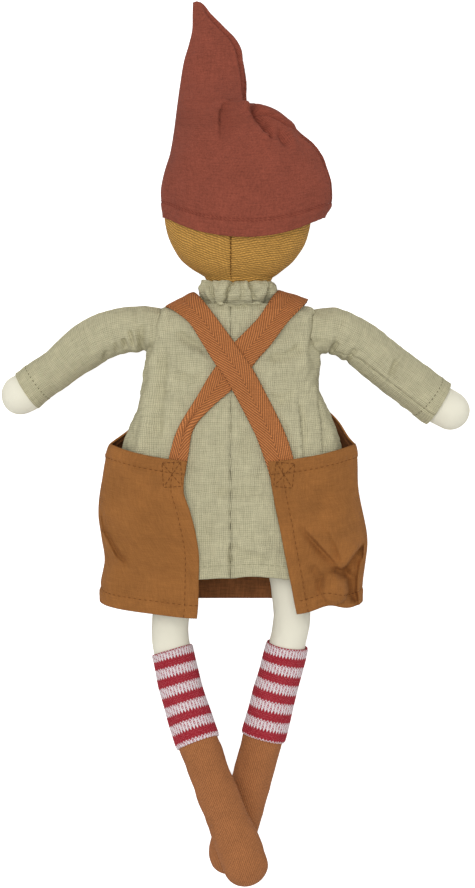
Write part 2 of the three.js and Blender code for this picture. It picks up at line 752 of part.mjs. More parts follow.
const leftStrap = strap(
  1,
  [
    [-shoulderStrapX, overTop],
    [-20.5, 119.9],
    [-5.4, 98.8],
    [7.6, 78.3],
    [18.9, 58.9],
    [rightPanelEdgeTop + tapeWide / 2, strapEndY],
  ],
  [
    [-shoulderStrapX, overTop],
    [apronMiddleX - bibStrapX, bibTopY],
    [apronMiddleX - bibStrapX, bibTopY - strapUnderPanel],
  ],
);
const rightStrap = strap(
  0,
  [
    [shoulderStrapX, overTop],
    [23, 123],
    [14.6, 113.4],
    [1.1, 96.1],
    [-15.7, 75.6],
    [-27, 58],
    [leftPanelEdgeTop - tapeWide / 2, strapEndY],
  ],
  [
    [shoulderStrapX, overTop],
    [apronMiddleX + bibStrapX, bibTopY],
    [apronMiddleX + bibStrapX, bibTopY - strapUnderPanel],
  ],
);

// The pointed hat: a cone of two panels, wide over the head, whose tip leans to the left.
const hatTall = hatTipY - hatHemY;
const hatForm = {
  power: 2.1,
  middleX: smooth([
    [hatHemY, headMiddleX + 3.3],
    [hatHemY + hatTall * 0.12, headMiddleX + 4.5],
    [hatHemY + hatTall * 0.36, headMiddleX + 2.3],
    [hatHemY + hatTall * 0.47, headMiddleX - 4.5],
    [hatHemY + hatTall * 0.53, headMiddleX - 12.5],
    [hatHemY + hatTall * 0.62, headMiddleX - 13.8],
    [hatHemY + hatTall * 0.82, headMiddleX - 13.7],
    [hatTipY, headMiddleX - 22.5],
  ]),
  middleZ: smooth([
    [hatHemY, headMiddleZ],
    [hatHemY + hatTall * 0.35, headMiddleZ],
    [hatHemY + hatTall * 0.6, headMiddleZ - 7],
    [hatTipY, headMiddleZ - 13],
  ]),
  halfWide: smooth([
    [hatHemY, headWide / 2 + 4.8],
    [hatHemY + hatTall * 0.12, headWide / 2 + 6.8],
    [hatHemY + hatTall * 0.24, headWide / 2 + 4],
    [hatHemY + hatTall * 0.36, headWide / 2 - 1.6],
    [hatHemY + hatTall * 0.47, headWide / 2 - 10.2],
    [hatHemY + hatTall * 0.53, 18.5],
    [hatHemY + hatTall * 0.68, 17],
    [hatHemY + hatTall * 0.82, 11.5],
    [hatHemY + hatTall * 0.94, 6],
    [hatTipY, 1.6],
  ]),
  halfDeep: smooth([
    [hatHemY, headDeep / 2 + 1.9],
    [hatHemY + hatTall * 0.24, headDeep / 2 + 2],
    [hatHemY + hatTall * 0.36, headDeep / 2 - 3],
    [hatHemY + hatTall * 0.47, headDeep / 2 - 13],
    [hatHemY + hatTall * 0.6, 13],
    [hatHemY + hatTall * 0.85, 7],
    [hatTipY, 1.6],
  ]),
  lift: (angle, y) => {
    const fade = Math.max(0, 1 - (y - hatHemY) / (hatTall * 0.5));
    const s = Math.sin(angle);
    return fade * (s > 0 ? -hatBackDrop * s * s : hatFrontRise * s * s);
  },
};
const hatShares = [0, 0.1, 0.2, 0.3, 0.39, 0.47, 0.53, 0.63, 0.75, 0.86, 0.95];
const hatSides = 18;
function hatWall(outwards) {
  const rings = hatShares.map((s) => section(hatForm, hatHemY + s * hatTall, outwards, hatSides));
  const tip = hatTipY + outwards;
  return [...rings, [new THREE.Vector3(hatForm.middleX(hatTipY), tip, hatForm.middleZ(hatTipY))]];
}
const hatWhole = solidFromRings([...hatWall(0), ...hatWall(-jerseyThick).reverse()], true);
const hatSeamZ = (y) => hatForm.middleZ(y);
// A slab that follows the middle of the hat and parts its two panels.
const hatParting = (() => {
  const reach = headWide;
  const rows = steps(hatHemY - 30, hatTipY + 10, 12);
  const grid = (offset) => {
    return [-reach, reach].map((x) => rows.map((y) => new THREE.Vector3(x, y, hatSeamZ(y) + offset)));
  };
  return { below: sheet(grid(-half), grid(-far)), above: sheet(grid(half), grid(far)) };
})();
const headBlock = solidFromRings(headWall(-hatSlack / 2));
const hatBack = hatWhole.intersect(hatParting.above).subtract(headBlock);
const hatFront = hatWhole.intersect(hatParting.below).subtract(headBlock);

// The scene graph: one group for each body, placed at the pivot it turns about.
const doll = new THREE.Group();
const bodyGroup = (x, y, z) => {
  const group = new THREE.Group();
  group.position.set(x, y, z);
  doll.add(group);
  return group;
};
const torsoGroup = bodyGroup(0, 0, 0);
const neckGroup = bodyGroup(neckMiddleX, neckPivotY, bodyMiddleZ);
const headGroup = bodyGroup(neckMiddleX, headLow, headMiddleZ);
const hatGroup = bodyGroup(headMiddleX, hatHemY, headMiddleZ);
const leftArmGroup = bodyGroup(leftShoulderX, shoulderY, bodyMiddleZ);
const rightArmGroup = bodyGroup(rightShoulderX, shoulderY, bodyMiddleZ);
const hipsGroup = bodyGroup(0, 0, hipZ);
const leftLegGroup = bodyGroup(leftHipX, legTopY, hipZ);
const rightLegGroup = bodyGroup(rightHipX, legTopY, hipZ);

function add(group, name, solid, finish) {
  const geometry = toGeometry(solid);
  geometry.translate(-group.position.x, -group.position.y, -group.position.z);
  geometry.computeVertexNormals();
  const mesh = new THREE.Mesh(geometry, finish);
  mesh.name = name;
  group.add(mesh);
}

add(torsoGroup, "body_front_panel", bodyFront, cottonSkin);
add(torsoGroup, "body_back_panel", bodyBack, cottonSkin);
add(torsoGroup, "body_filling", bodyFilling, filling);
add(torsoGroup, "tunic_front", tunicFront, gauze);
add(torsoGroup, "tunic_back_left", tunicBackLeft, gauze);
add(torsoGroup, "tunic_back_right", tunicBackRight, gauze);
add(torsoGroup, "collar", collar, gauze);
add(torsoGroup, "collar_elastic", elastic, elasticBand);
add(torsoGroup, "apron", apron, apronCotton);
add(torsoGroup, "left_strap", leftStrap, strapTape);
add(torsoGroup, "right_strap", rightStrap, strapTape);

add(neckGroup, "neck_skin", neckSkin, cottonSkin);
add(neckGroup, "neck_filling", neckFilling, filling);

add(headGroup, "face_panel", facePanel, cottonSkin);
add(headGroup, "hair_panel_left", hairLeft, hairTwill);
add(headGroup, "hair_panel_right", hairRight, hairTwill);
add(headGroup, "head_filling", headFilling, filling);
add(headGroup, "left_eye", eye(-1), eyeThread);
add(headGroup, "right_eye", eye(1), eyeThread);

add(hatGroup, "hat_back_panel", hatBack, hatJersey);
add(hatGroup, "hat_front_panel", hatFront, hatJersey);

for (const [name, group, form] of [
  ["left", leftArmGroup, leftArm],
  ["right", rightArmGroup, rightArm],
]) {
  add(group, name + "_arm_skin", armSkin(form), cottonSkin);
  add(group, name + "_arm_filling", armFilling(form), filling);
  add(group, name + "_sleeve", sleeve(form), gauze);
}

add(hipsGroup, "hip_seam", hipSeam, seamTape);
for (const [name, group, form] of [
  ["left", leftLegGroup, leftLeg],
  ["right", rightLegGroup, rightLeg],
]) {
  add(group, name + "_leg_skin", legSkin(form), cottonSkin);
  add(group, name + "_leg_filling", legFilling(form), filling);
  add(group, name + "_boot", bootSkin(form), bootCotton);
  add(group, name + "_sock", sock(form), stripedKnit);
}

// The origin goes under the middle of the doll, on the floor.
doll.updateMatrixWorld(true);
const extent = new THREE.Box3().setFromObject(doll);
const middle = extent.getCenter(new THREE.Vector3());
doll.position.set(-middle.x, -middle.y, -extent.min.z);

export default doll;
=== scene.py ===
"""A soft cloth elf doll that lies on its front, seen from behind: its cloth, stitches and stuffing.

Lengths are in millimetres. y = 0 is the seam that joins the legs to the body, +y runs to the tip
of the hat, +x is the doll's right hand and +z is the doll's back, which faces the camera.
"""

import math

import bmesh
import bpy
import numpy as np
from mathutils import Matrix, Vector
from mathutils.bvhtree import BVHTree


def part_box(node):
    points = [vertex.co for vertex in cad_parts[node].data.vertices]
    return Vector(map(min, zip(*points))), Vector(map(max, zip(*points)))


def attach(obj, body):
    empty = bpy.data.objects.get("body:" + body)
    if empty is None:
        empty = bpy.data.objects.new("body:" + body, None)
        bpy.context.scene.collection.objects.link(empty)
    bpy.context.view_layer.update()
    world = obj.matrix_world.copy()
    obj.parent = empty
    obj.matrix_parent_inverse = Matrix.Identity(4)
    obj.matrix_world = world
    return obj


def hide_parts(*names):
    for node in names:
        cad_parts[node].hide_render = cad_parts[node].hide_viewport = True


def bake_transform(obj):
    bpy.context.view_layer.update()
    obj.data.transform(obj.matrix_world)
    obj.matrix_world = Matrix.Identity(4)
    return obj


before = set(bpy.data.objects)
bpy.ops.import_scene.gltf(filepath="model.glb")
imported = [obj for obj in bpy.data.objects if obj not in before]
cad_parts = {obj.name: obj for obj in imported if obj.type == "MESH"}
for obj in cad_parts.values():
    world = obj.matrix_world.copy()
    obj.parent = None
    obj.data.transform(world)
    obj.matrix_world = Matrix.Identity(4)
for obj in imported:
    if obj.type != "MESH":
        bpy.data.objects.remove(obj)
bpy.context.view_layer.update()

MM = 0.001
HIP_Z = 22
FLOOR_Z = -1.6
hip_low, hip_high = (np.array(corner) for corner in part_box("hip_seam"))
ORIGIN = (hip_low + hip_high) / 2 - np.array([0, 0, HIP_Z * MM])


def in_frame(points):
    """Points of this script, in millimetres, as points of the frame, in metres."""
    return np.asarray(points, float) * MM + ORIGIN


# Shapes


def smooth(*stations):
    """A smooth value through stations, each (place, value)."""
    places, values = (np.array(column, float) for column in zip(*stations))
    order, last = np.arange(len(places)), len(places) - 1
    before, after = np.maximum(order - 1, 0), np.minimum(order + 1, last)
    slopes = (values[after] - values[before]) / (places[after] - places[before])

    def curve(place):
        place = np.clip(np.asarray(place, float), places[0], places[-1])
        i = np.clip(np.searchsorted(places, place, side="right") - 1, 0, last - 1)
        span = places[i + 1] - places[i]
        t = (place - places[i]) / span
        ends = values[i] * (1 + 2 * t) * (1 - t) ** 2 + values[i + 1] * t * t * (3 - 2 * t)
        return ends + span * t * (1 - t) * (slopes[i] * (1 - t) - slopes[i + 1] * t)

    return curve


def smooth_path(places, points):
    """A smooth curve through points, each at its place along the curve."""
    curves = [smooth(*zip(places, column)) for column in zip(*points)]
    return lambda place: np.stack([curve(place) for curve in curves], axis=-1)


def run(path):
    """How far along a path each of its points is."""
    steps = np.linalg.norm(np.diff(np.asarray(path, float), axis=0), axis=1)
    return np.concatenate([[0], np.cumsum(steps)])


def between(marks, lengths, values):
    """Values at marks along a path, from those at its own lengths."""
    return np.stack([np.interp(marks, lengths, column) for column in np.transpose(values)], axis=1)


def unit(vectors):
    return vectors / np.maximum(np.linalg.norm(vectors, axis=-1, keepdims=True), 1e-9)


def fade(value, low, high):
    """0 below low and 1 above high, with a soft step between them. low may be above high."""
    t = np.clip((np.asarray(value, float) - low) / (high - low), 0, 1)
    return t * t * (3 - 2 * t)


def bell(value, width, power=2):
    """1 where the value is 0, falling off on both sides over about that width."""
    return np.exp(-((value / width) ** power))


def full_turn(count):
    """That many angles in equal steps once round."""
    return np.arange(count) * 2 * math.pi / count


def rounded(angle, half_wide, half_deep, power):
    """A point of a rounded outline: power 2 is an ellipse and more is squarer."""
    c, s = (np.sign(part) * np.abs(part) ** (2 / power) for part in (np.cos(angle), np.sin(angle)))
    return c * half_wide, s * half_deep


def ripple(points, size, seed, waves=28):
    """Smooth random bumps about 1 high, with about that size, the same at every run."""
    chance = np.random.default_rng(seed)
    ways = chance.normal(size=(waves, 3))
    ways /= np.linalg.norm(ways, axis=1, keepdims=True)
    pace = 2 * math.pi / (2 * size * chance.uniform(0.7, 1.6, waves))
    starts = chance.uniform(0, 2 * math.pi, waves)
    total = sum(np.cos(points @ way * p + start) for way, p, start in zip(ways, pace, starts))
    return total / math.sqrt(waves / 2)


def ripples(points, *bumps):
    """Ripples added up, each (height, size, seed)."""
    return sum(height * ripple(points, size, seed) for height, size, seed in bumps)


def beside(x, y, path):
    """Distance to the left of a path, negative to its right, and the share of the way along it."""
    path, lengths = np.array(path, float), run(path)
    nearest = np.full(np.shape(x), np.inf)
    signed, where = np.zeros(np.shape(x)), np.zeros(np.shape(x))
    for (from_x, from_y), (dx, dy), start in zip(path, np.diff(path, axis=0), lengths):
        length = math.hypot(dx, dy)
        t = np.clip(((x - from_x) * dx + (y - from_y) * dy) / length**2, 0, 1)
        gap = np.hypot(x - from_x - t * dx, y - from_y - t * dy)
        side = np.sign((y - from_y) * dx - (x - from_x) * dy)
        closer = gap < nearest
        signed = np.where(closer, gap * side, signed)
        where = np.where(closer, start + t * length, where)
        nearest = np.where(closer, gap, nearest)
    return signed, where / lengths[-1]


def ridge(x, y, path, width, taper=0.25):
    """1 along a path of (x, y), falling to 0 beside it and towards its ends."""
    gap, share = beside(x, y, path)
    return bell(gap, width) * fade(np.minimum(share, 1 - share), 0, taper)


def overfold(x, y, path, soft, sharp=1.6, taper=0.2, drop=1.1, edge=1.0):
    """Cloth folded over along a path: it rises softly from the left and drops to the right."""
    gap, share = beside(x, y, path)
    rise = np.exp(-np.maximum(gap, 0) / soft) * fade(gap, -0.6 * edge, 1.4 * edge)
    fall = -drop * bell(gap + 0.5, sharp) * (gap < 0.6)
    return (rise + fall) * fade(np.minimum(share, 1 - share), 0, taper)


def creased(kind, x, y, creases):
    """Ridges or overfolds added up, each (height, path) with what else its kind takes."""
    return sum(height * kind(x, y, path, *form) for height, path, *form in creases)


class Sheet:
    """Cloth as rows and columns of points. Its outer face is on the side of rows x columns."""

    def __init__(self, points, closed=False):
        self.points = np.asarray(points, float)
        self.closed = closed

    def wrapped(self):
        """Its points, with the first column again at the end of cloth that closes on itself."""
        return np.concatenate([self.points, self.points[:, :1]], axis=1) if self.closed else self.points

    def normals(self):
        along = np.gradient(self.points, axis=0)
        if self.closed:
            across = np.roll(self.points, -1, axis=1) - np.roll(self.points, 1, axis=1)
        else:
            across = np.gradient(self.points, axis=1)
        normals = np.cross(along, across)
        sizes = np.linalg.norm(normals, axis=2, keepdims=True)
        normals /= np.maximum(sizes, 1e-9)
        for pole, next_row in ((0, 1), (-1, -2)):
            if sizes[pole].max() < 1e-6:
                normals[pole] = unit(normals[next_row].mean(axis=0))
        return normals

    def raised(self, height):
        """The sheet moved outwards by that height at each point."""
        out = np.broadcast_to(height, self.points.shape[:2])[..., None]
        return Sheet(self.points + self.normals() * out, self.closed)

    def rippled(self, *bumps):
        return self.raised(ripples(self.points, *bumps))

    def at(self, rows, columns):
        """Points and normals at shares of the way along the rows and across the columns."""
        last_row, last_column = self.points.shape[0] - 1, self.points.shape[1] - (0 if self.closed else 1)
        r, c = np.broadcast_arrays(np.clip(rows, 0, 1) * last_row, np.clip(columns, 0, 1) * last_column)
        i, j = np.minimum(r.astype(int), last_row - 1), np.minimum(c.astype(int), last_column - 1)
        s, t = (r - i)[..., None], (c - j)[..., None]
        nxt = (j + 1) % self.points.shape[1]
        found = []
        for values in (self.points, self.normals()):
            near = values[i, j] * (1 - t) + values[i, nxt] * t
            away = values[i + 1, j] * (1 - t) + values[i + 1, nxt] * t
            found.append(near * (1 - s) + away * s)
        return found

    def part(self, first, last):
        """The columns from first to last as open cloth. last may be the first column, once round."""
        return Sheet(self.wrapped()[:, first : last + 1])

    def along_rows(self):
        """How far each point is from the first one of its row."""
        points = self.wrapped()
        return np.cumsum(np.linalg.norm(np.diff(points, axis=1, prepend=points[:, :1]), axis=2), axis=1)

    def from_column(self, column):
        """How far each point of closed cloth is from a column, the shorter way round."""
        across = self.along_rows()
        gap = np.abs(across - across[:, column : column + 1])
        return np.minimum(gap, across[:, -1:] - gap)[:, :-1]

    def size(self):
        """Its widest row, its longest column and its area, in metres."""
        points = self.wrapped()
        tall = np.linalg.norm(np.diff(points, axis=0), axis=2).sum(axis=0).max()
        a, b = points[1:, 1:] - points[:-1, :-1], points[1:, :-1] - points[:-1, 1:]
        area = np.linalg.norm(np.cross(a, b), axis=2).sum() / 2
        return self.along_rows()[:, -1].max() * MM, tall * MM, area * MM * MM

    def threads(self, middle=0.5):
        """How far each point is along the threads, across and up, from a middle column."""
        across = self.along_rows()
        column = int(round(middle * (across.shape[1] - 1)))
        up = run(self.wrapped()[:, column])
        return across - across[:, column : column + 1], np.broadcast_to(up[:, None], across.shape)

    def faces(self):
        """Its faces, each with the numbers of its four corners."""
        rows, columns = self.points.shape[:2]
        count = columns if self.closed else columns - 1
        i, j = np.meshgrid(np.arange(rows - 1) * columns, np.arange(count), indexing="ij")
        nxt = (j + 1) % columns
        return np.stack([i + j, i + columns + j, i + columns + nxt, i + nxt], axis=2).reshape(-1, 4)


def mesh_piece(name, corners, faces, threads=None, finish=None):
    """A mesh object from corners in millimetres, faces, and where each face's corners are on the cloth."""
    corners = np.array(corners, float)
    corners[:, 2] = np.maximum(corners[:, 2], FLOOR_Z)
    mesh = bpy.data.meshes.new(name)
    mesh.from_pydata(in_frame(corners).tolist(), [], faces)
    if threads is not None:
        layer = mesh.uv_layers.new(name="cloth")
        layer.data.foreach_set("uv", (np.asarray(threads, float) * MM).ravel())
    mesh.polygons.foreach_set("use_smooth", [True] * len(mesh.polygons))
    work = bmesh.new()
    work.from_mesh(mesh)
    bmesh.ops.remove_doubles(work, verts=work.verts, dist=1e-6)
    bmesh.ops.dissolve_degenerate(work, edges=work.edges, dist=1e-7)
    work.to_mesh(mesh)
    work.free()
    made = bpy.data.objects.new(name, mesh)
    bpy.context.scene.collection.objects.link(made)
    if finish:
        mesh.materials.append(finish.material)
    return made


def with_painted_shade_inside(made, finish):
    """Gives the inner side of a piece of cloth a second finish; the apron's is a darker copy of its cotton,
    painted shade.
    """
    made.data.materials.append(finish.material)
    made.modifiers["thickness"].material_offset = 1
    return made


def sheet_piece(name, sheet, finish, thick=1.0, middle=0.5, turn=0.0, threads=None):
    """A piece of cloth, thick inwards from its outer face. turn swings its threads, in degrees."""
    across, up = threads or sheet.threads(middle)
    c, s = math.cos(math.radians(turn)), math.sin(math.radians(turn))
    cloth = np.stack([across * c + up * s, up * c - across * s], axis=2)
    corners = np.stack([cloth[:-1, :-1], cloth[1:, :-1], cloth[1:, 1:], cloth[:-1, 1:]], axis=2)
    made = mesh_piece(name, sheet.points.reshape(-1, 3), sheet.faces().tolist(), corners, finish)
    if thick:
        layer = made.modifiers.new("thickness", "SOLIDIFY")
        layer.thickness = thick * MM
        layer.offset = -1
    return made


def swept(path, ups, radii, flat=1.0, sides=8, loop=False):
    """Corners and faces of a cord along a path. Its section is flat times as high as it is wide."""
    path, ups = np.asarray(path, float), np.asarray(ups, float)
    if loop:
        along = np.roll(path, -1, axis=0) - np.roll(path, 1, axis=0)
    else:
        along = np.gradient(path, axis=0)
    side = unit(np.cross(along, ups))
    top = unit(np.cross(side, along))
    c, s = (f(full_turn(sides))[None, :, None] for f in (np.cos, np.sin))
    ring = side[:, None] * c + top[:, None] * s * flat
    corners = path[:, None] + ring * np.broadcast_to(radii, len(path))[:, None, None]
    faces = []
    for i in range(len(path) if loop else len(path) - 1):
        a, b = i * sides, ((i + 1) % len(path)) * sides
        faces += [[a + j, a + (j + 1) % sides, b + (j + 1) % sides, b + j] for j in range(sides)]
    if not loop:
        faces += [list(range(sides))[::-1], [(len(path) - 1) * sides + j for j in range(sides)]]
    return corners.reshape(-1, 3), faces


def cord_threads(faces, corners):
    """Where the corners of a cord's faces are on its cloth, near enough for its fine texture."""
    flat = corners[[c for face in faces for c in face]]
    return np.stack([flat[:, 0] + flat[:, 2], flat[:, 1] - flat[:, 2]], axis=1)


def cord_piece(name, path, ups, radii, finish, flat=1.0, loop=False):
    corners, faces = swept(path, ups, radii, flat, loop=loop)
    return mesh_piece(name, corners, faces, cord_threads(faces, corners), finish)


def spaced(path, ups, step):
    """A path and its upward directions, resampled at equal steps."""
    lengths = run(path)
    marks = np.arange(0, lengths[-1], step)
    return between(marks, lengths, path), between(marks, lengths, ups)


def dense(places, step=1.0):
    """Points along straight lines between places, at about that step."""
    lengths = run(places)
    return between(np.linspace(0, lengths[-1], max(2, int(lengths[-1] / step))), lengths, places)


STITCH_PITCH = 3.1


def stitch_piece(name, lines, finish, pitch=STITCH_PITCH, length=2.3, thick=0.45, lift=0.22, slant=0.0):
    """Separate stitches of thread along lines, each a path with its upward directions."""
    steps, beads, sunk = 8, 6, 0.08
    arch = np.sin(np.linspace(0, math.pi, beads))
    radii = thick / 2 * (0.45 + 0.55 * arch)
    lean = np.linspace(-0.5, 0.5, beads)[:, None] * slant
    per = int(round(length / pitch * steps))
    all_corners, all_faces, used = [], [], 0
    for path, ups in lines:
        fine, tops = spaced(path, ups, pitch / steps)
        for start in range(0, len(fine) - per, steps):
            span = np.linspace(start, start + per, beads)
            low = np.minimum(span.astype(int), len(fine) - 2)
            share = (span - low)[:, None]
            points = fine[low] * (1 - share) + fine[low + 1] * share
            up = tops[low]
            sideways = unit(np.cross(points[-1] - points[0], up[0]))
            points = points + up * (arch[:, None] * lift - sunk) + sideways * lean
            corners, faces = swept(points, up, radii, sides=6)
            all_corners.append(corners)
            all_faces += [[c + used for c in face] for face in faces]
            used += len(corners)
    corners = np.concatenate(all_corners)
    return mesh_piece(name, corners, all_faces, cord_threads(all_faces, corners), finish)


def surface(*sheets):
    """The outer faces of sheets as one surface that other pieces can be laid on."""
    corners, faces = [], []
    for sheet in sheets:
        faces += (sheet.faces() + len(corners)).tolist()
        corners += sheet.points.reshape(-1, 3).tolist()
    return BVHTree.FromPolygons(corners, faces)


def laid_on(base, points, out):
    """Points moved to lie that far out from a surface, and its outward directions there."""
    found, ups = [], []
    for point, gap in zip(points, np.broadcast_to(out, len(points))):
        place, normal, _, _ = base.find_nearest(Vector(point))
        found.append(np.array(place) + np.array(normal) * gap)
        ups.append(np.array(normal))
    return np.array(found), np.array(ups)


ABOVE_ALL = 200


def dropped(base, x, y):
    """Where a surface lies at a place seen from behind, and its outward direction there."""
    place, normal, _, _ = base.ray_cast(Vector((x, y, ABOVE_ALL)), Vector((0, 0, -1)))
    return place, normal


def from_behind(base, places, out):
    """Places (x, y) seen from behind, dropped on a surface from above and raised off it."""
    hits = [dropped(base, x, y) for x, y in places]
    found, ups = (np.array(part) for part in zip(*(hit for hit in hits if hit[0] is not None)))
    return found + ups * out, ups


def lift_off(sheet, base, gap, where):
    """Lifts the points of a sheet that are chosen by where until they lie that far above a surface."""
    for i, j in zip(*np.nonzero(where)):
        x, y, z = sheet.points[i, j]
        place, _ = dropped(base, x, y)
        if place is not None:
            sheet.points[i, j, 2] = max(z, place[2] + gap)


def soften(values, times):
    """Evens out a path, or the columns of a sheet, in place. Its two ends stay where they are."""
    for _ in range(times):
        values[1:-1] = (values[:-2] + 2 * values[1:-1] + values[2:]) / 4


# Finishes

TAPE_WIDE = 14.6


def dye(code):
    """A colour written as six hex digits, in linear light."""
    levels = [int(code[i : i + 2], 16) / 255 for i in (0, 2, 4)]
    return tuple(s / 12.92 if s <= 0.04045 else ((s + 0.055) / 1.055) ** 2.4 for s in levels) + (1.0,)


def joined_by(operation, turned=False):
    """A method that joins a field and another value by one kind of shader maths."""

    def join(self, other):
        return self.maths(operation, *((other, self) if turned else (self, other)))

    return join


class Field:
    """A socket of a finish's nodes, so that shader maths is written as sums."""

    def __init__(self, tree, socket):
        self.tree = tree
        self.socket = socket

    def maths(self, operation, *values):
        node = self.tree.nodes.new("ShaderNodeMath")
        node.operation = operation
        for slot, value in zip(node.inputs, values):
            plug(self.tree, slot, value)
        return Field(self.tree, node.outputs[0])

    __add__, __radd__ = joined_by("ADD"), joined_by("ADD", turned=True)
    __sub__, __rsub__ = joined_by("SUBTRACT"), joined_by("SUBTRACT", turned=True)
    __mul__, __rmul__ = joined_by("MULTIPLY"), joined_by("MULTIPLY", turned=True)
    __truediv__ = joined_by("DIVIDE")
    __mod__ = joined_by("FLOORED_MODULO")
    __pow__ = joined_by("POWER")
    __lt__ = joined_by("LESS_THAN")
    bigger = joined_by("MAXIMUM")
    smaller = joined_by("MINIMUM")
    # Up and down between 0 and the other value.
    zigzag = joined_by("PINGPONG")

    def __abs__(self):
        return self.maths("ABSOLUTE", self)

    def floor(self):
        return self.maths("FLOOR", self)

    def hump(self):
        """One rounded thread for each whole number."""
        return self.maths("SINE", self * math.pi) ** 2

    def clamped(self):
        return self.smaller(1.0).bigger(0.0)


def plug(tree, slot, value):
    if isinstance(value, Field):
        tree.links.new(value.socket, slot)
    else:
        slot.default_value = value


class Finish:
    """The finish of one kind of cloth or thread: a material, with the record's slot it belongs to."""

    def __init__(self, name, slot, roughness=0.9):
        self.slot = slot
        self.material = bpy.data.materials.new(name)
        self.material.use_nodes = True
        self.tree = self.material.node_tree
        self.shader = self.tree.nodes["Principled BSDF"]
        self.shader.inputs["Roughness"].default_value = roughness
        self.shader.inputs["Specular IOR Level"].default_value = 0.2
        cloth = self.node("UVMap", {"uv_map": "cloth"})
        scaled = self.node("VectorMath", {"operation": "SCALE"}, Vector=cloth, Scale=1 / MM)
        self.u = self.node("SeparateXYZ", Vector=scaled, out="X")
        self.v = self.node("SeparateXYZ", Vector=scaled, out="Y")

    def node(self, kind, settings=None, out=0, **values):
        node = self.tree.nodes.new("ShaderNode" + kind)
        for setting, value in (settings or {}).items():
            setattr(node, setting, value)
        slots = {slot.identifier: slot for slot in node.inputs}
        for name, value in values.items():
            plug(self.tree, slots[name], value)
        return Field(self.tree, node.outputs[out])

    def noise(self, size, across=1.0, along=1.0, detail=2.0, seed=0.0):
        """Soft noise from 0 to 1 with about that size, stretched across or along the cloth."""
        place = self.node("CombineXYZ", X=self.u / across, Y=self.v / along, Z=seed)
        return self.node("TexNoise", Vector=place, Scale=1 / size, Detail=detail)

    def mix(self, share, low, high):
        return self.node("Mix", {"data_type": "RGBA"}, 2, Factor_Float=share, A_Color=low, B_Color=high)

    def tinted(self, share, colour, dark, light):
        """A colour made darker where share is 0 and lighter where it is 1, both as factors."""
        low = tuple(c * dark for c in colour[:3]) + (1.0,)
        high = tuple(min(1.0, c * light) for c in colour[:3]) + (1.0,)
        return self.mix(share, low, high)

    def done(self, colour, height, depth, strength=1.0):
        """Joins the colour, and a bump of that depth in millimetres, to the shader."""
        plug(self.tree, self.shader.inputs["Base Color"], colour)
        bump = self.node("Bump", out="Normal", Height=height, Strength=strength, Distance=depth * MM)
        plug(self.tree, self.shader.inputs["Normal"], bump)
        return self


def plain_weave(finish, pitch):
    """The height of a plain weave: threads that pass over and under each other by turns."""
    x, y = finish.u / pitch, finish.v / pitch
    turn = (x.floor() + y.floor()) % 2
    return x.hump() * turn + y.hump() * (1 - turn)


def make_gauze():
    finish = Finish("sage double gauze", "smock_gauze", roughness=0.95)
    pitch = 0.98
    sway = finish.noise(8, seed=1) * 2.4
    x, y = finish.u / pitch + sway, finish.v / pitch + sway * 0.8
    threads = x.hump() * 0.55 + y.hump() * 0.45
    slubs = finish.noise(0.9, along=8, seed=3) + finish.noise(0.9, across=8, seed=4)
    crinkles = finish.noise(2.4, along=1.8, detail=3, seed=6)
    clouds = finish.noise(16, detail=4, seed=5)
    share = threads * 0.62 + slubs * 0.42 + crinkles * 0.3 + clouds * 0.2 - 0.42
    colour = finish.tinted(share.clamped(), dye("b8b292"), 0.56, 1.33)
    return finish.done(colour, threads * 0.8 + slubs * 0.6 + crinkles * 1.1, 0.42)


def make_twill():
    finish = Finish("mustard twill", "hair_twill", roughness=0.9)
    pitch = 1.3
    sway = finish.noise(7, seed=1) * 1.3 + finish.noise(2.2, seed=4) * 0.35
    lines = (finish.u / pitch + sway).hump()
    rows = finish.v / 2.1 + (finish.u / pitch + sway).floor() * 0.37
    breaks = (rows + finish.noise(3, seed=5) * 1.2).hump()
    slubs = finish.noise(0.9, along=4, seed=2)
    share = lines * 0.5 + lines * breaks * 0.4 + slubs * 0.7 - 0.3
    colour = finish.tinted(share.clamped(), dye("c9974b"), 0.5, 1.26)
    return finish.done(colour, lines + breaks * 0.4, 0.32)


def jersey(finish, pitch):
    """The height of plain knitting: columns of small slanted stitches."""
    x = finish.u / pitch
    lean = abs((x % 1) - 0.5) * 1.2
    return x.hump() * 0.6 + (finish.v / (pitch * 0.8) + lean).hump() * 0.4


def make_hat_jersey():
    finish = Finish("terracotta jersey", "hat_jersey", roughness=0.95)
    knit = jersey(finish, pitch=0.7)
    streaks = finish.noise(0.7, along=8, seed=1) * 0.35 + finish.noise(0.7, across=9, seed=2) * 0.65
    clouds = finish.noise(16, detail=4, seed=3)
    grain = finish.noise(0.75, detail=2, seed=4)
    share = knit * 0.6 + streaks * 0.9 + clouds * 0.3 + grain * 0.8 - 0.8
    colour = finish.tinted(share.clamped(), dye("914b3a"), 0.5, 1.34)
    return finish.done(colour, knit + streaks * 0.15, 0.2)


def make_boot_cotton():
    finish = Finish("rust brown jersey", "boot_cotton", roughness=0.95)
    knit = jersey(finish, pitch=1.05)
    lint = finish.noise(0.7, detail=3, seed=1)
    clouds = finish.noise(12, detail=3, seed=2)
    share = knit * 0.9 + lint * 0.9 + clouds * 0.4 - 0.6
    colour = finish.tinted(share.clamped(), dye("a66b41"), 0.5, 1.3)
    return finish.done(colour, knit + lint * 0.5, 0.24)


def make_apron_cotton(name, colour, contrast):
    finish = Finish(name, "apron_cotton", roughness=0.92)
    weave = plain_weave(finish, pitch=0.55)
    slubs = finish.noise(0.7, along=9, seed=1) * 0.5 + finish.noise(0.7, across=11, seed=2) * 0.5
    flecks = finish.noise(0.5, detail=1, seed=3)
    clouds = finish.noise(18, detail=4, seed=4)
    share = weave * 0.25 + slubs * contrast + flecks * 0.7 + clouds * 0.6 - contrast / 2 - 0.3
    tone = finish.tinted(share.clamped(), dye(colour), 0.6, 1.32)
    return finish.done(tone, weave * 0.6 + slubs * 0.9, 0.2)


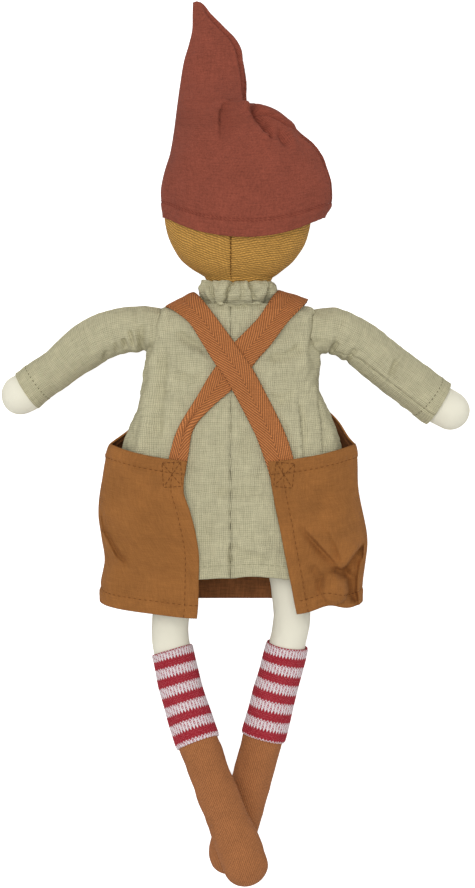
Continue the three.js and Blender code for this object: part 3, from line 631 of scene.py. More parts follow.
def make_tape():
    finish = Finish("herringbone tape", "strap_tape", roughness=0.95)
    half = TAPE_WIDE / 2
    zig = (finish.u + half).zigzag(half)
    lines = ((finish.v + zig * 2.0) / 2.5 + finish.noise(5, seed=3) * 0.3).hump()
    picks = ((finish.v - zig * 0.5) / 0.95).hump()
    turns = (1 - zig / half).bigger(zig / half) ** 14
    slubs = finish.noise(0.7, detail=2, seed=1)
    share = lines * 0.5 + lines * picks * 0.5 - turns * 0.1 + slubs * 0.6 - 0.26
    colour = finish.tinted(share.clamped(), dye("c67d49"), 0.44, 1.26)
    return finish.done(colour, lines + picks * 0.3, 0.42)


def make_skin():
    finish = Finish("natural cotton", "cotton_skin", roughness=0.9)
    weave = plain_weave(finish, pitch=0.5)
    clouds = finish.noise(10, detail=3, seed=1)
    share = weave * 0.35 + clouds * 0.5
    colour = finish.tinted(share.clamped(), dye("ebe7d4"), 0.93, 1.03)
    return finish.done(colour, weave, 0.05)


KNIT_WIDE = 1.7
KNIT_TALL = 1.26
KNIT_LEAN = 1.3
BAND_ROWS = 4


def make_knit():
    """Bands of two yarns. v is 0 at the top edge, and each stitch is a small slanted pair."""
    finish = Finish("striped knit", "striped_knit", roughness=0.97)
    column = finish.u / KNIT_WIDE
    arm = abs((column % 1) - 0.5) * 2
    row = finish.v / KNIT_TALL + arm * KNIT_LEAN
    band = ((row + 3) / BAND_ROWS).floor() % 2
    strand = row.hump() * (arm * 2).hump()
    pit = ((row + 0.5).hump() * (column + 0.5).hump()) ** 1.2
    every_other = (((column + 0.5).floor() + (row + 0.5).floor() * 2) % 3) < 0.5
    lint = finish.noise(0.6, detail=2, seed=1)
    red = finish.tinted((strand * 0.8 + lint * 0.7 - 0.15).clamped(), dye("b42b39"), 0.5, 1.25)
    red = finish.mix((strand * (lint - 0.4) * 3.5).clamped() * 0.35, red, dye("e8b4b8"))
    white = finish.tinted((strand * 0.9 + lint * 0.5).clamped(), dye("fdf3f5"), 0.66, 1.1)
    specks = (pit * (every_other * 3.0 + 1.3)).clamped()
    colour = finish.mix(band, red, finish.mix(specks, white, dye("a8283f")))
    return finish.done(colour, strand + lint * 0.5, 0.16)


def make_plain(name, slot, colour, size, dark, depth, roughness=0.9):
    """A finish of fine fibres for threads, stuffing and elastic."""
    finish = Finish(name, slot, roughness=roughness)
    fibres = finish.noise(size, along=3, detail=3)
    return finish.done(finish.tinted(fibres, dye(colour), dark, 1.12), fibres, depth)


def make_thread(name, slot, colour):
    return make_plain(name, slot, colour, size=0.3, dark=0.8, depth=0.05)


gauze = make_gauze()
twill = make_twill()
hat_jersey = make_hat_jersey()
boot_cotton = make_boot_cotton()
apron_cotton = make_apron_cotton("ochre brown cotton", "a36b37", 1.1)
# The apron's inner face is the same cotton made darker: painted shade for the shadow inside the apron, not a
# different cloth.
apron_shade_painted_inside = make_apron_cotton("cotton darkened as painted shade", "80502d", 2.4)
tape = make_tape()
skin = make_skin()
knit = make_knit()
sage_thread = make_thread("sage thread", "smock_gauze", "a39f82")
dark_sage_thread = make_thread("dark sage thread", "smock_gauze", "625d45")
hat_thread = make_thread("terracotta thread", "hat_jersey", "7c3a2c")
twill_thread = make_thread("mustard thread", "hair_twill", "6e4c1e")
apron_thread = make_thread("dark brown thread", "apron_cotton", "6b401d")
eye_thread = make_plain(
    "dark eye thread", "eye_thread", "2b211d", size=0.3, dark=0.7, depth=0.08, roughness=0.6
)
mouth_thread = make_plain("soft red thread", "eye_thread", "a4574a", size=0.3, dark=0.8, depth=0.06)
stuffing = make_plain("wool filling", "filling", "f1eee4", size=1.4, dark=0.85, depth=0.8)
elastic_finish = make_plain("ribbed elastic", "elastic", "dcd8cb", size=0.4, dark=0.8, depth=0.2)
seam_cotton = make_plain("seam tape", "seam_tape", "ded9c8", size=0.5, dark=0.85, depth=0.1)


# The forms that the doll is made to, as in its solids

BODY_Z = 26
SHOULDER_Y = 113.9
TUNIC_HEM, TUNIC_TOP = -20, 126
TUNIC_X = -1.2
BACK_SEAM_X = -3
NECK_X = 1.6
HEAD_X, HEAD_Y, HEAD_Z = 1.2, 175.5, 32
HEAD_WIDE, HEAD_DEEP, HEAD_ABOVE, HEAD_BELOW = 79, 64, 42, 38
CHIN_POWER = 2.05
NECK_SEAM_WIDE = 37
HEAD_LOW = HEAD_Y - HEAD_BELOW * (1 - (NECK_SEAM_WIDE / HEAD_WIDE) ** CHIN_POWER) ** (1 / CHIN_POWER)
HEAD_TOP = HEAD_Y + HEAD_ABOVE
FACE_SEAM_Z = HEAD_Z - 5.6
HAIR_SEAM_X = HEAD_X - 4
HAT_HEM, HAT_TIP = 173.9, 291.2
HIP_FOLD = ("torso", "hips")
FOLD_FROM, FOLD_TO = (0, 16, HIP_Z), (0, -14, HIP_Z)


class Wall:
    """An upright form: level rounded sections between a left and a right edge."""

    def __init__(self, left, right, half_deep, middle_z, power):
        self.left, self.right = left, right
        self.half_deep, self.middle_z, self.power = half_deep, middle_z, power

    def points(self, rows, angles, out=0.0):
        """Points at levels and angles: one for each row and column, or one for each point."""
        rows, angles = np.asarray(rows, float), np.asarray(angles, float)
        y, angle = np.broadcast_arrays(rows[:, None] if rows.ndim == 1 else rows, angles)
        left, right = self.left(y), self.right(y)
        x, z = rounded(angle, (right - left) / 2 + out, self.half_deep(y) + out, self.power)
        return np.stack([(left + right) / 2 + x, y, self.middle_z(y) + z], axis=2)

    def angle_at(self, x, y):
        """The angle on the doll's back at which the outline reaches x."""
        half = (self.right(y) - self.left(y)) / 2
        share = np.clip((x - (self.left(y) + self.right(y)) / 2) / np.maximum(half, 1e-6), -1, 1)
        return np.arccos(np.sign(share) * np.abs(share) ** (self.power / 2))


def level_ring(angles, middle, half_wide, half_deep, power):
    """A level rounded ring round a middle."""
    x, z = rounded(angles, half_wide, half_deep, power)
    return np.stack([middle[0] + x, np.full(x.shape, float(middle[1])), middle[2] + z], axis=1)


def shared_out(edges, counts):
    """Angles in equal steps between edges, with that many columns from each edge to the next."""
    spans = zip(edges, edges[1:], counts)
    return np.concatenate(
        [start[:, None] + (end - start)[:, None] * np.arange(count) / count for start, end, count in spans],
        axis=1,
    )


def constant(value):
    return lambda y: np.full(np.shape(y), float(value))


def ride_on(made, body, *nodes):
    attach(made, body)
    if nodes:
        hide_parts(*nodes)
    return made


def turn_between(made, bodies, start, end, *nodes):
    """A piece with its place baked into its mesh and the parts it stands for hidden; nothing turns it between
    the bodies.
    """
    tuple(in_frame(start))
    tuple(in_frame(end))
    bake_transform(made)
    if nodes:
        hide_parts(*nodes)
    return made


def bend_at_hips(made, *nodes):
    return turn_between(made, HIP_FOLD, FOLD_FROM, FOLD_TO, *nodes)


def padded_piece(name, sheet, finish, body, node, fill, **cloth):
    """Cloth held out by the stuffing in it."""
    made = ride_on(sheet_piece(name, sheet, finish, thick=0.9, **cloth), body, node)


def stuffing_piece(name, points, bump, body, node, thick=0.0, where=1.0):
    """The stuffing itself, just inside its cloth. bump is the ripple of its surface."""
    inner = Sheet(points, closed=True)
    inner = inner.raised(ripples(inner.points, bump) * where)
    ride_on(sheet_piece(name, inner, stuffing, thick=thick), body, node)


def level_cord(name, path, radius, finish, body, node, **form):
    """A cord that runs level, round or across the doll."""
    ups = np.broadcast_to(np.array([0.0, 1.0, 0.0]), path.shape)
    ride_on(cord_piece(name, path, ups, radius, finish, **form), body, node)


def cut_from(made, sheet, held, *rests_on):
    """Returns the piece as it is. The size of its outer face is worked out but not used."""
    wide, tall, area = sheet.size()
    return made


# Head


def head_share(y):
    """How wide the head is at a level, as a share of its full width."""
    dy = np.asarray(y, float) - HEAD_Y
    reach = np.where(dy > 0, HEAD_ABOVE, HEAD_BELOW)
    power = np.where(dy > 0, 2.2, CHIN_POWER)
    return np.maximum(0, 1 - np.minimum(1, np.abs(dy) / reach) ** power) ** (1 / power)


head_wall = Wall(
    left=lambda y: HEAD_X - HEAD_WIDE / 2 * head_share(y),
    right=lambda y: HEAD_X + HEAD_WIDE / 2 * head_share(y),
    half_deep=lambda y: HEAD_DEEP / 2 * head_share(y),
    middle_z=constant(HEAD_Z),
    power=2.1,
)


def head_rows(count, inset=0.0):
    """Levels up the head that draw together towards its crown."""
    turn = np.linspace(math.asin((HEAD_LOW - HEAD_Y) / HEAD_ABOVE), math.pi / 2, count)
    return np.clip(HEAD_Y + (HEAD_ABOVE - inset) * np.sin(turn), HEAD_LOW, HEAD_TOP)


def side_angle(rows):
    """Where the seam between face and hair runs, on the doll's right."""
    half = np.maximum((HEAD_DEEP / 2) * head_share(rows), 1e-6)
    share = np.clip((FACE_SEAM_Z - HEAD_Z) / half, -1, 1)
    return np.arcsin(np.sign(share) * np.abs(share) ** 1.05)


HAIR_COLUMNS, FACE_COLUMNS = 90, 130
# The head's cloth is drawn in round the neck to a ring this far down.
TUCK_DOWN, TUCK_HALF_WIDE, TUCK_HALF_DEEP = 3.2, 16.6, 14.6
HEAD_STUFFING_IN = 2.6


def build_head():
    rows = head_rows(110)
    right = side_angle(rows)
    seam = head_wall.angle_at(HAIR_SEAM_X, rows)
    edges = [right, seam, math.pi - right, 2 * math.pi + right]
    angles = shared_out(edges, (HAIR_COLUMNS, HAIR_COLUMNS, FACE_COLUMNS))
    shell = head_wall.points(rows, angles)
    under_head = (NECK_X, HEAD_LOW - TUCK_DOWN, HEAD_Z - 0.7)
    tucked = level_ring(angles[0], under_head, TUCK_HALF_WIDE, TUCK_HALF_DEEP, 2.1)
    steps = np.linspace(0, 1, 8)[:-1, None, None]
    tuck = tucked[None] * (1 - steps) + shell[0][None] * steps
    sheet = Sheet(np.concatenate([tuck, shell]), closed=True)
    y = sheet.points[..., 1]
    hair_gap = sheet.from_column(HAIR_COLUMNS)
    side_gap = np.minimum(sheet.from_column(0), sheet.from_column(2 * HAIR_COLUMNS))
    valleys = sum(-0.75 * bell(gap, 0.7) - 0.5 * bell(gap, 3.0) for gap in (hair_gap, side_gap))
    pull = 0.22 * bell(hair_gap, 4) * np.cos(2 * math.pi * y / 3.4 + 2 * ripple(sheet.points, 9, 13))
    relief = ripples(sheet.points, (0.3, 18, 11), (0.1, 6, 12)) + valleys + pull
    ends = fade(y, HEAD_TOP, HEAD_TOP - 6) * fade(y, HEAD_LOW - 3, HEAD_LOW + 2)
    sheet = sheet.raised(relief * ends)
    round_once = 2 * HAIR_COLUMNS + FACE_COLUMNS
    for name, node, first, last, middle, turn, finish in (
        ("hair_right", "hair_panel_right", 0, HAIR_COLUMNS, 1, 80, twill),
        ("hair_left", "hair_panel_left", HAIR_COLUMNS, 2 * HAIR_COLUMNS, 0, 112, twill),
        ("face", "face_panel", 2 * HAIR_COLUMNS, round_once, 0.5, 0, skin),
    ):
        panel = sheet.part(first, last)
        padded_piece(name, panel, finish, "head", node, fill=0.9, middle=middle, turn=turn)
        if name == "hair_left":
            line = panel.at(np.linspace(0.03, 0.62, 200), 0.006)
            form = {"pitch": 2.6, "length": 1.6, "lift": 0.12}
            ride_on(stitch_piece("hair_seam_stitches", [line], twill_thread, **form), "head")
        if name == "face":
            build_face(surface(panel))
    inner_rows = head_rows(40, inset=HEAD_STUFFING_IN)[4:]
    inside = head_wall.points(inner_rows, full_turn(64), out=-HEAD_STUFFING_IN)
    where = fade(inside[..., 1], HEAD_TOP, HEAD_TOP - 8)
    stuffing_piece("head_stuffing", inside, (0.3, 6, 15), "head", "head_filling", where=where)


EYE_APART, EYE_BELOW, EYE_HALF_WIDE, EYE_HALF_TALL = 29, 3, 2.1, 2.8
MOUTH_BELOW, MOUTH_HALF, MOUTH_BEND = 17, 7, 2.2


def build_face(base):
    """Embroidery: two round eyes in satin stitch, each with a brow, and a small curved mouth."""
    for side, name in ((-1, "left_eye"), (1, "right_eye")):
        x0, y0 = HEAD_X + side * EYE_APART / 2, HEAD_Y - EYE_BELOW
        rings, spokes = 14, 48
        angle = full_turn(spokes)
        share = np.linspace(1, 0, rings)[:, None]
        x, y = x0 + EYE_HALF_WIDE * share * np.cos(angle), y0 + EYE_HALF_TALL * share * np.sin(angle)
        flat, ups = laid_on(base, np.stack([x, y, 0 * x], axis=2).reshape(-1, 3), 0.0)
        threads = 0.09 * np.sin(y * 2 * math.pi / 0.55) * (share < 0.97)
        dome = 0.15 + 0.75 * np.sqrt(np.maximum(0, 1 - share**2)) + threads
        points = (flat + ups * dome.reshape(-1, 1)).reshape(rings, spokes, 3)
        ride_on(sheet_piece(name, Sheet(points, closed=True), eye_thread, thick=0.25), "head", name)
        brow = dense([(x0 - side * 2.6, y0 + 3.6, 0), (x0, y0 + 4.9, 0), (x0 + side * 3.0, y0 + 3.9, 0)], 0.4)
        ride_on(cord_piece(name + "_brow", *laid_on(base, brow, 0.25), 0.3, eye_thread), "head")
    t = np.linspace(-1, 1, 15)
    mouth = np.stack([HEAD_X + t * MOUTH_HALF, HEAD_Y - MOUTH_BELOW + MOUTH_BEND * t * t, 0 * t], axis=1)
    line = laid_on(base, dense(mouth, 0.5), 0.2)
    form = {"pitch": 2.0, "length": 1.95, "thick": 0.6}
    ride_on(stitch_piece("mouth_stitches", [line], mouth_thread, **form), "head")


# Neck and collar

# The neck's rounded foot ends at this level, from which the neck rises to the head's middle.
NECK_FOOT, NECK_HALF_WIDE, NECK_HALF_DEEP = 118, 16, 14


def build_neck():
    top = HEAD_LOW - 0.3
    rise = (HEAD_Z - BODY_Z) / (top - NECK_FOOT)
    neck = Wall(
        left=constant(NECK_X - NECK_HALF_WIDE),
        right=constant(NECK_X + NECK_HALF_WIDE),
        half_deep=lambda y: np.sqrt(NECK_HALF_DEEP**2 - np.minimum(0, y - NECK_FOOT) ** 2),
        middle_z=lambda y: BODY_Z + rise * np.maximum(0, y - NECK_FOOT),
        power=2.2,
    )
    foot = NECK_FOOT - NECK_HALF_DEEP * np.sin(np.linspace(1.2, 0, 12))
    rows = np.concatenate([foot, np.linspace(NECK_FOOT, top, 16)[1:]])
    sheet = Sheet(neck.points(rows, full_turn(64)), closed=True).rippled((0.2, 8, 21))
    padded_piece("neck", sheet, skin, "neck", "neck_skin", fill=0.9)
    inside = neck.points(rows[2:-1], full_turn(48), out=-1.6)
    stuffing_piece("neck_stuffing", inside, (0.25, 5, 22), "neck", "neck_filling", thick=1.2)


# Each pleat: the degrees at which it lies round the neck, and its depth.
COLLAR_PLEATS = [
    (12, 0.8), (40, 1.0), (66, 0.9), (84, 0.4), (106, 1.15), (131, 1.0), (161, 0.9),
    (187, 0.7), (214, 1.0), (243, 0.9), (270, 1.0), (298, 0.8), (329, 1.0),
]
COLLAR_FOOT, COLLAR_TOP = 127.0, 139.4
COLLAR_HALF_WIDE, COLLAR_HALF_DEEP = 17.0, 15.2
ELASTIC_Y, ELASTIC_HALF_WIDE, ELASTIC_HALF_DEEP = 131.4, 17.3, 15.3


def build_collar():
    """A ruffle gathered by elastic. Its pleats are narrow valleys between wide soft humps."""
    spokes, levels = 420, 48
    angle = full_turn(spokes)
    share = np.linspace(0, 1, levels)[:, None]
    chance = np.random.default_rng(33)
    valleys = np.zeros((levels, spokes))
    for degrees, depth in COLLAR_PLEATS:
        lean, width = chance.uniform(-0.3, 0.3), chance.uniform(0.045, 0.085)
        gap = (angle[None] - math.radians(degrees) - lean * (share - 0.4) + math.pi) % (2 * math.pi) - math.pi
        ends = fade(share, -0.15, 0.5) * (1 - 0.45 * fade(share, 0.75, 1) * chance.uniform(0, 1))
        valleys = np.maximum(valleys, depth * ends * bell(gap, width))
    x, y, z = np.broadcast_arrays(np.cos(angle) * 20, share * 12, np.sin(angle) * 20)
    puff = ripples(np.stack([x, y, z], axis=2), (0.8, 6.5, 34), (0.32, 3, 35))
    reach = smooth((0, 1.6), (0.12, 2.9), (0.35, 4.3), (0.62, 4.9), (0.85, 4.1), (1, 2.5))(share)
    reach = reach - 3.5 * valleys + puff * fade(share, -0.2, 0.4)
    x, z = rounded(angle[None], COLLAR_HALF_WIDE + reach, COLLAR_HALF_DEEP + reach, 2.1)
    y = COLLAR_FOOT + share * (COLLAR_TOP - COLLAR_FOOT)
    y = y - 0.9 * valleys * fade(share, 0.6, 1) + 0.3 * puff * fade(share, 0.7, 1)
    y = y - 2.8 * np.maximum(0, np.sin(angle)) ** 2 * (1 - share) ** 1.2
    y = y - 2.4 * np.maximum(0, -np.sin(angle)) ** 1.5 * share
    middle_z = BODY_Z + (HEAD_Z - BODY_Z) * np.maximum(0, y - NECK_FOOT) / (HEAD_LOW - NECK_FOOT)
    sheet = Sheet(np.stack([NECK_X - 0.7 + x, y, middle_z + z], axis=2), closed=True)
    sheet = sheet.rippled((0.12, 1.8, 31), (0.14, 3.5, 32))
    made = sheet_piece("collar_ruffle", sheet, gauze, thick=0.9)
    turn_between(made, ("torso", "neck"), (NECK_X, 126, BODY_Z), (NECK_X, HEAD_LOW + 2, HEAD_Z), "collar")
    cut_from(made, sheet, "gathered", "tunic_left_back", "tunic_right_back")
    middle = (NECK_X, ELASTIC_Y, BODY_Z + 3.4)
    band = level_ring(full_turn(96), middle, ELASTIC_HALF_WIDE, ELASTIC_HALF_DEEP, 2.2)
    form = {"flat": 1.6, "loop": True}
    level_cord("collar_elastic_band", band, 0.55, elastic_finish, "torso", "collar_elastic", **form)


# Body, which the clothes hide

BODY_LOW, BODY_HIGH = 2.2, 122.5
HIP_SEAM_HALF = 39


def build_body():
    left = smooth((0, -40), (31, -41), (74, -37), (109, -40), (124, -26))
    right = smooth((0, 40), (31, 41), (74, 37), (109, 40), (124, 26))
    deep = smooth((0, 1.5), (15, 10.5), (40, 18), (74, 19.5), (109, 18), (124, 12))
    wall = Wall(left, right, deep, smooth((0, HIP_Z), (43, BODY_Z), (124, BODY_Z)), 2.4)
    rows = np.linspace(BODY_LOW, BODY_HIGH, 90)
    for side, start in (("back", 0), ("front", math.pi)):
        angles = np.linspace(start + 0.02, start + math.pi - 0.02, 90)
        sheet = Sheet(wall.points(rows, angles, out=-1.5)).rippled((0.3, 14, 41))
        padded_piece("body_" + side, sheet, skin, "torso", f"body_{side}_panel", fill=0.85)
    inside = wall.points(np.linspace(4, 118, 50), full_turn(72), out=-3.0)
    stuffing_piece("body_stuffing", inside, (0.4, 6, 42), "torso", "body_filling", thick=1.2)
    x = np.linspace(-HIP_SEAM_HALF, HIP_SEAM_HALF, 80)
    band = np.stack([x, 0.25 * np.sin(x / 7), np.full(x.shape, float(HIP_Z))], axis=1)
    level_cord("hip_seam_tape", band, 0.95, seam_cotton, "hips", "hip_seam", flat=1.5)


# Tunic

tunic_left = smooth(
    (-20, -62.2), (41, -61.5), (54, -59.3), (68, -53.2), (81, -50.2), (101, -49.0), (112, -46.5),
    (120, -43.4), (124, -40.6), (126, -37),
)
tunic_right = smooth(
    (-20, 59.8), (41, 58.8), (54, 56), (70, 50.8), (81, 46.4), (89, 45), (100, 45.2), (112, 44.2),
    (120, 44.0), (124, 42.4), (126, 39.5),
)
tunic_deep = smooth((-20, 22.5), (53, 22.5), (104, 22), (123, 20.5), (126, 18.5))
tunic_wall = Wall(tunic_left, tunic_right, tunic_deep, constant(BODY_Z), 2.5)


NECK_HOLE_Y, NECK_HOLE_HALF_WIDE, NECK_HOLE_HALF_DEEP = 127.2, 19.0, 17.4
SHOULDER_ROWS = 8
# The tunic's rows are even from its hem to this level, and closer above it.
TUNIC_SHOULDER, TUNIC_ROWS = 112, 136
TUNIC_HEM_WIDE = 6.7
BACK_COLUMNS, FRONT_COLUMNS = 84, 150
# The straps' middle lines on the back, from the apron up to the shoulder.
left_strap_back = [
    (27.5, 33), (24.3, 43.5), (20.0, 55.5), (10.5, 74.0), (1.1, 90.7), (-5.0, 98.9), (-11.8, 109.4),
    (-19.5, 119.5), (-27.2, 126),
]
right_strap_back = [
    (-34.4, 36), (-32.6, 43.5), (-31.0, 51), (-29.4, 59), (-25.4, 66), (-19.5, 72.5), (-14.2, 78.6),
    (-7.0, 86.5), (1.1, 96.1), (8.6, 105.5), (15.6, 114.0), (22.6, 121.5), (28, 127),
]


def plain_tunic():
    """The tunic with no folds: right back, left back and front side by side, up to the neck hole."""
    wall_rows = np.linspace(TUNIC_HEM, TUNIC_SHOULDER, TUNIC_ROWS)
    rows = np.concatenate([wall_rows, np.linspace(TUNIC_SHOULDER, TUNIC_TOP, 18)[1:]])
    seam = tunic_wall.angle_at(BACK_SEAM_X, rows)
    edges = [0 * rows, seam, 0 * rows + math.pi, 0 * rows + 2 * math.pi]
    angles = shared_out(edges, (BACK_COLUMNS, BACK_COLUMNS, FRONT_COLUMNS))
    wall = tunic_wall.points(rows, angles)
    middle = (NECK_X - 0.4, NECK_HOLE_Y, BODY_Z + 2.5)
    hole = level_ring(angles[-1], middle, NECK_HOLE_HALF_WIDE, NECK_HOLE_HALF_DEEP, 2.2)
    steps = np.linspace(0, 1, SHOULDER_ROWS + 1)[1:, None, None]
    bow = np.array([0, 1.0, 0]) * np.sin(steps * math.pi) * 0.9
    shoulders = wall[-1][None] * (1 - steps) + hole[None] * steps + bow
    return Sheet(np.concatenate([wall, shoulders]), closed=True)


# The tunic's creases: height, path and width of each ridge, then what overfold takes for each overfold.
TUNIC_RIDGES = (
    (2.4, [(-45, 110), (-45.5, 88), (-48, 66), (-52, 40)], 3.0),
    (-2.0, [(-39.5, 112), (-39.5, 90), (-41, 66), (-44, 46)], 2.4),
    (1.5, [(36, 124), (38.5, 112), (36, 98), (37, 84)], 2.6),
    (-1.6, [(41.5, 124), (42.5, 114), (41, 106), (36, 98)], 1.8),
    (-1.8, [(-41, 124), (-43.5, 114), (-46, 104), (-47, 96)], 1.8),
    (1.5, [(-36, 122), (-39, 110), (-42, 96)], 2.6),
    (-3.0, [(-34, 114), (-27, 108), (-18, 104), (-8, 103)], 2.6),
    (2.0, [(-34, 106), (-24, 100), (-14, 98)], 3.0),
    (-2.8, [(38, 106), (27, 99), (14, 97)], 2.4),
    (1.5, [(40, 100), (28, 91), (16, 89)], 3.2),
    (-2.0, [(-38, 92), (-24, 86), (-14, 88)], 2.6),
    (1.6, [(-38, 80), (-26, 76), (-18, 80)], 3.2),
    (-1.8, [(14, 78), (24, 76), (33, 80)], 2.4),
    (1.1, [(-20, 40), (-2, 36), (18, 40)], 3.6),
    (-1.8, [(-18, 28), (0, 25), (20, 27)], 2.6),
    (1.2, [(-16, 10), (2, 0), (20, -5)], 4.0),
    (-2.0, [(-14, 4), (2, -7), (22, -12)], 2.4),
    (-2.2, [(-4, -4), (-2, -12), (0, -21)], 2.2),
    (1.2, [(6, 30), (12, 10), (14, -16)], 4.0),
    (-1.2, [(-18, 34), (-16, 10), (-18, -12)], 4.0),
    (-1.0, [(4, 70), (6, 52), (2, 34)], 3.0),
    (1.0, [(-12, 66), (-14, 50), (-10, 36)], 3.4),
)
TUNIC_OVERFOLDS = (
    (2.2, [(37.5, 26), (36.2, 44), (35.0, 62), (33.0, 82)], 4.0, 2.2, 0.3, 0.7, 1.8),
    (1.5, [(46.5, 40), (46.0, 62), (44.5, 80), (44.0, 96)], 3.0, 2.2, 0.35, 0.6, 1.8),
)


def tunic_folds(sheet):
    """How far the tunic stands out: folds to the hem, gathers at the neck, puckers at the seams."""
    points = sheet.points
    x, y, z = points[..., 0], points[..., 1], points[..., 2]
    back = fade(z, BODY_Z + 2, BODY_Z + 9)
    low = np.clip((TUNIC_TOP - y) / (TUNIC_TOP - TUNIC_HEM), 0, 1)
    around = np.arctan2(z - BODY_Z, (x - TUNIC_X) * 0.42)
    drape = 1.0 * low**2 * np.cos(8 * around + 0.8 * ripple(points, 40, 51)) * (1 - 0.5 * back)
    around_neck = np.arctan2(z - BODY_Z - 3, x - NECK_X)
    gathers = np.abs(np.cos(12 * around_neck + 0.9 * ripple(points, 14, 52)))
    neck = fade(y, 106, 123) * (0.8 * gathers - 0.4) * fade(y, 127.5, 125.5)
    crinkle = 0.34 * ripple(points * np.array([1.0, 0.5, 1.0]), 5.0, 53) + 0.15 * ripple(points, 2.6, 54)
    crinkle += 0.6 * ripple(points * np.array([0.7, 1.0, 0.7]), 13, 55)
    big = creased(ridge, x, y, TUNIC_RIDGES) + creased(overfold, x, y, TUNIC_OVERFOLDS)
    gap = sheet.from_column(BACK_COLUMNS)
    seam = -0.05 * bell(gap, 0.9) + 0.15 * bell(gap - 2.4, 1.6)
    pulls = 0.2 * bell(gap, 4) * ripple(points * np.array([0.3, 1, 0.3]), 2.2, 56)
    up = y - TUNIC_HEM - TUNIC_HEM_WIDE
    hem = 0.5 * fade(up, 0.5, -0.5) - 0.35 * bell(up, 0.8)
    folds = drape + neck + crinkle + back * big + seam + pulls
    tapes = [bell(beside(x, y, path)[0], TAPE_WIDE * 0.62, 6) for path in (left_strap_back, right_strap_back)]
    under_apron = np.maximum(fade(x, 24, 34), fade(x, -22, -32)) * fade(y, 50, 40)
    pressed = np.maximum(np.maximum(*tapes), under_apron * 0.7) * back
    return folds * (1 - 0.85 * pressed) - 0.6 * pressed + hem


def build_tunic():
    plain = plain_tunic()
    sheet = plain.raised(tunic_folds(plain))
    x, y = sheet.points[..., 0], sheet.points[..., 1]
    near_hem = fade(y, TUNIC_HEM + 25, TUNIC_HEM)
    sheet.points[..., 1] += near_hem * (0.9 * np.sin(x / 9 + 1) - 0.6 * bell(x + 2, 7))
    round_once = 2 * BACK_COLUMNS + FRONT_COLUMNS
    for name, node, first, last, middle in (
        ("tunic_right_back", "tunic_back_right", 0, BACK_COLUMNS, 1),
        ("tunic_left_back", "tunic_back_left", BACK_COLUMNS, 2 * BACK_COLUMNS, 0),
        ("tunic_front_cloth", "tunic_front", 2 * BACK_COLUMNS, round_once, 0.5),
    ):
        panel = sheet.part(first, last)
        threads = plain.part(first, last).threads(middle)
        made = bend_at_hips(sheet_piece(name, panel, gauze, thick=0.9, threads=threads), node)
        cut_from(made, panel, "hung", "body_back", "body_front")
    row_step = (TUNIC_SHOULDER - TUNIC_HEM) / (TUNIC_ROWS - 1)
    hem = sheet.at(TUNIC_HEM_WIDE / row_step / (len(sheet.points) - 1), np.linspace(0, 1, 1200))
    bend_at_hips(stitch_piece("tunic_hem_stitches", [hem], sage_thread, length=2.2, thick=0.4))
    line = sheet.part(BACK_COLUMNS, 2 * BACK_COLUMNS).at(np.linspace(0.02, 0.97, 500), 0.004)
    form = {"length": 1.7, "thick": 0.28, "lift": 0.05}
    bend_at_hips(stitch_piece("back_seam_stitches", [line], sage_thread, **form))
    return plain, sheet


# Limbs

# The rows of the dome that closes a limb's end.
DOME_ROWS = 13


class Limb:
    """A tube along stations of (x, y, z, wide, deep), as in the doll's solids."""

    def __init__(self, stations):
        self.course = smooth_path(np.linspace(0, 1, len(stations)), stations)

    def middle(self, u):
        return self.course(u)[..., :3]

    def axes(self, u):
        along = unit(self.middle(np.minimum(1, u + 0.01)) - self.middle(np.maximum(0, u - 0.01)))
        side = unit(np.cross(along, np.array([0, 0, 1.0])))
        return along, side, np.cross(side, along)

    def tube(self, places, columns, out=0.0, ahead=0.0, shrink=1.0):
        """Rings at places along it. ahead moves a ring on along the limb and shrink narrows it."""
        u = np.asarray(places, float)
        along, side, up = self.axes(u)
        angle = full_turn(columns)
        wide, deep = (((self.course(u)[:, k] / 2 + out) * shrink)[:, None] for k in (3, 4))
        middles = self.middle(u) + along * np.broadcast_to(ahead, len(u))[:, None]
        return (
            middles[:, None]
            + side[:, None] * (np.cos(angle) * wide)[..., None]
            + up[:, None] * (np.sin(angle) * deep)[..., None]
        )

    def capped(self, start, count, columns, out=0.0, near=False, toe=1.0):
        """A tube from start to a dome past its end, toe times its half width long. near caps both ends."""
        turn = np.linspace(0, math.pi / 2, DOME_ROWS + 1)[1:]
        first, last = self.course(start)[3] / 2 + out, self.course(1.0)[3] / 2 + out
        places = [np.full(DOME_ROWS, start), np.linspace(start, 1, count), np.ones(DOME_ROWS)]
        ahead = [-first * np.sin(turn[::-1]), np.zeros(count), last * toe * np.sin(turn)]
        shrink = [np.cos(turn[::-1]), np.ones(count), np.cos(turn)]
        skip = 0 if near else 1
        places, ahead, shrink = (np.concatenate(part[skip:]) for part in (places, ahead, shrink))
        return self.tube(places, columns, out, ahead, shrink)


ARM_WIDE, HAND_DROP = 21.4, 16.5
# How much of the drop to the hand each place along an arm has.
ARM_DROPS = (0, 0.07, 0.3, 0.6, 0.83, 0.95, 1)


def arm_limb(side, shoulder_x, places):
    """An arm through places (out, down) from its shoulder. Its hand lies lower than the shoulder."""
    return Limb([
        (shoulder_x + side * out, SHOULDER_Y - down, BODY_Z - HAND_DROP * share, ARM_WIDE, ARM_WIDE)
        for (out, down), share in zip(places, ARM_DROPS)
    ])


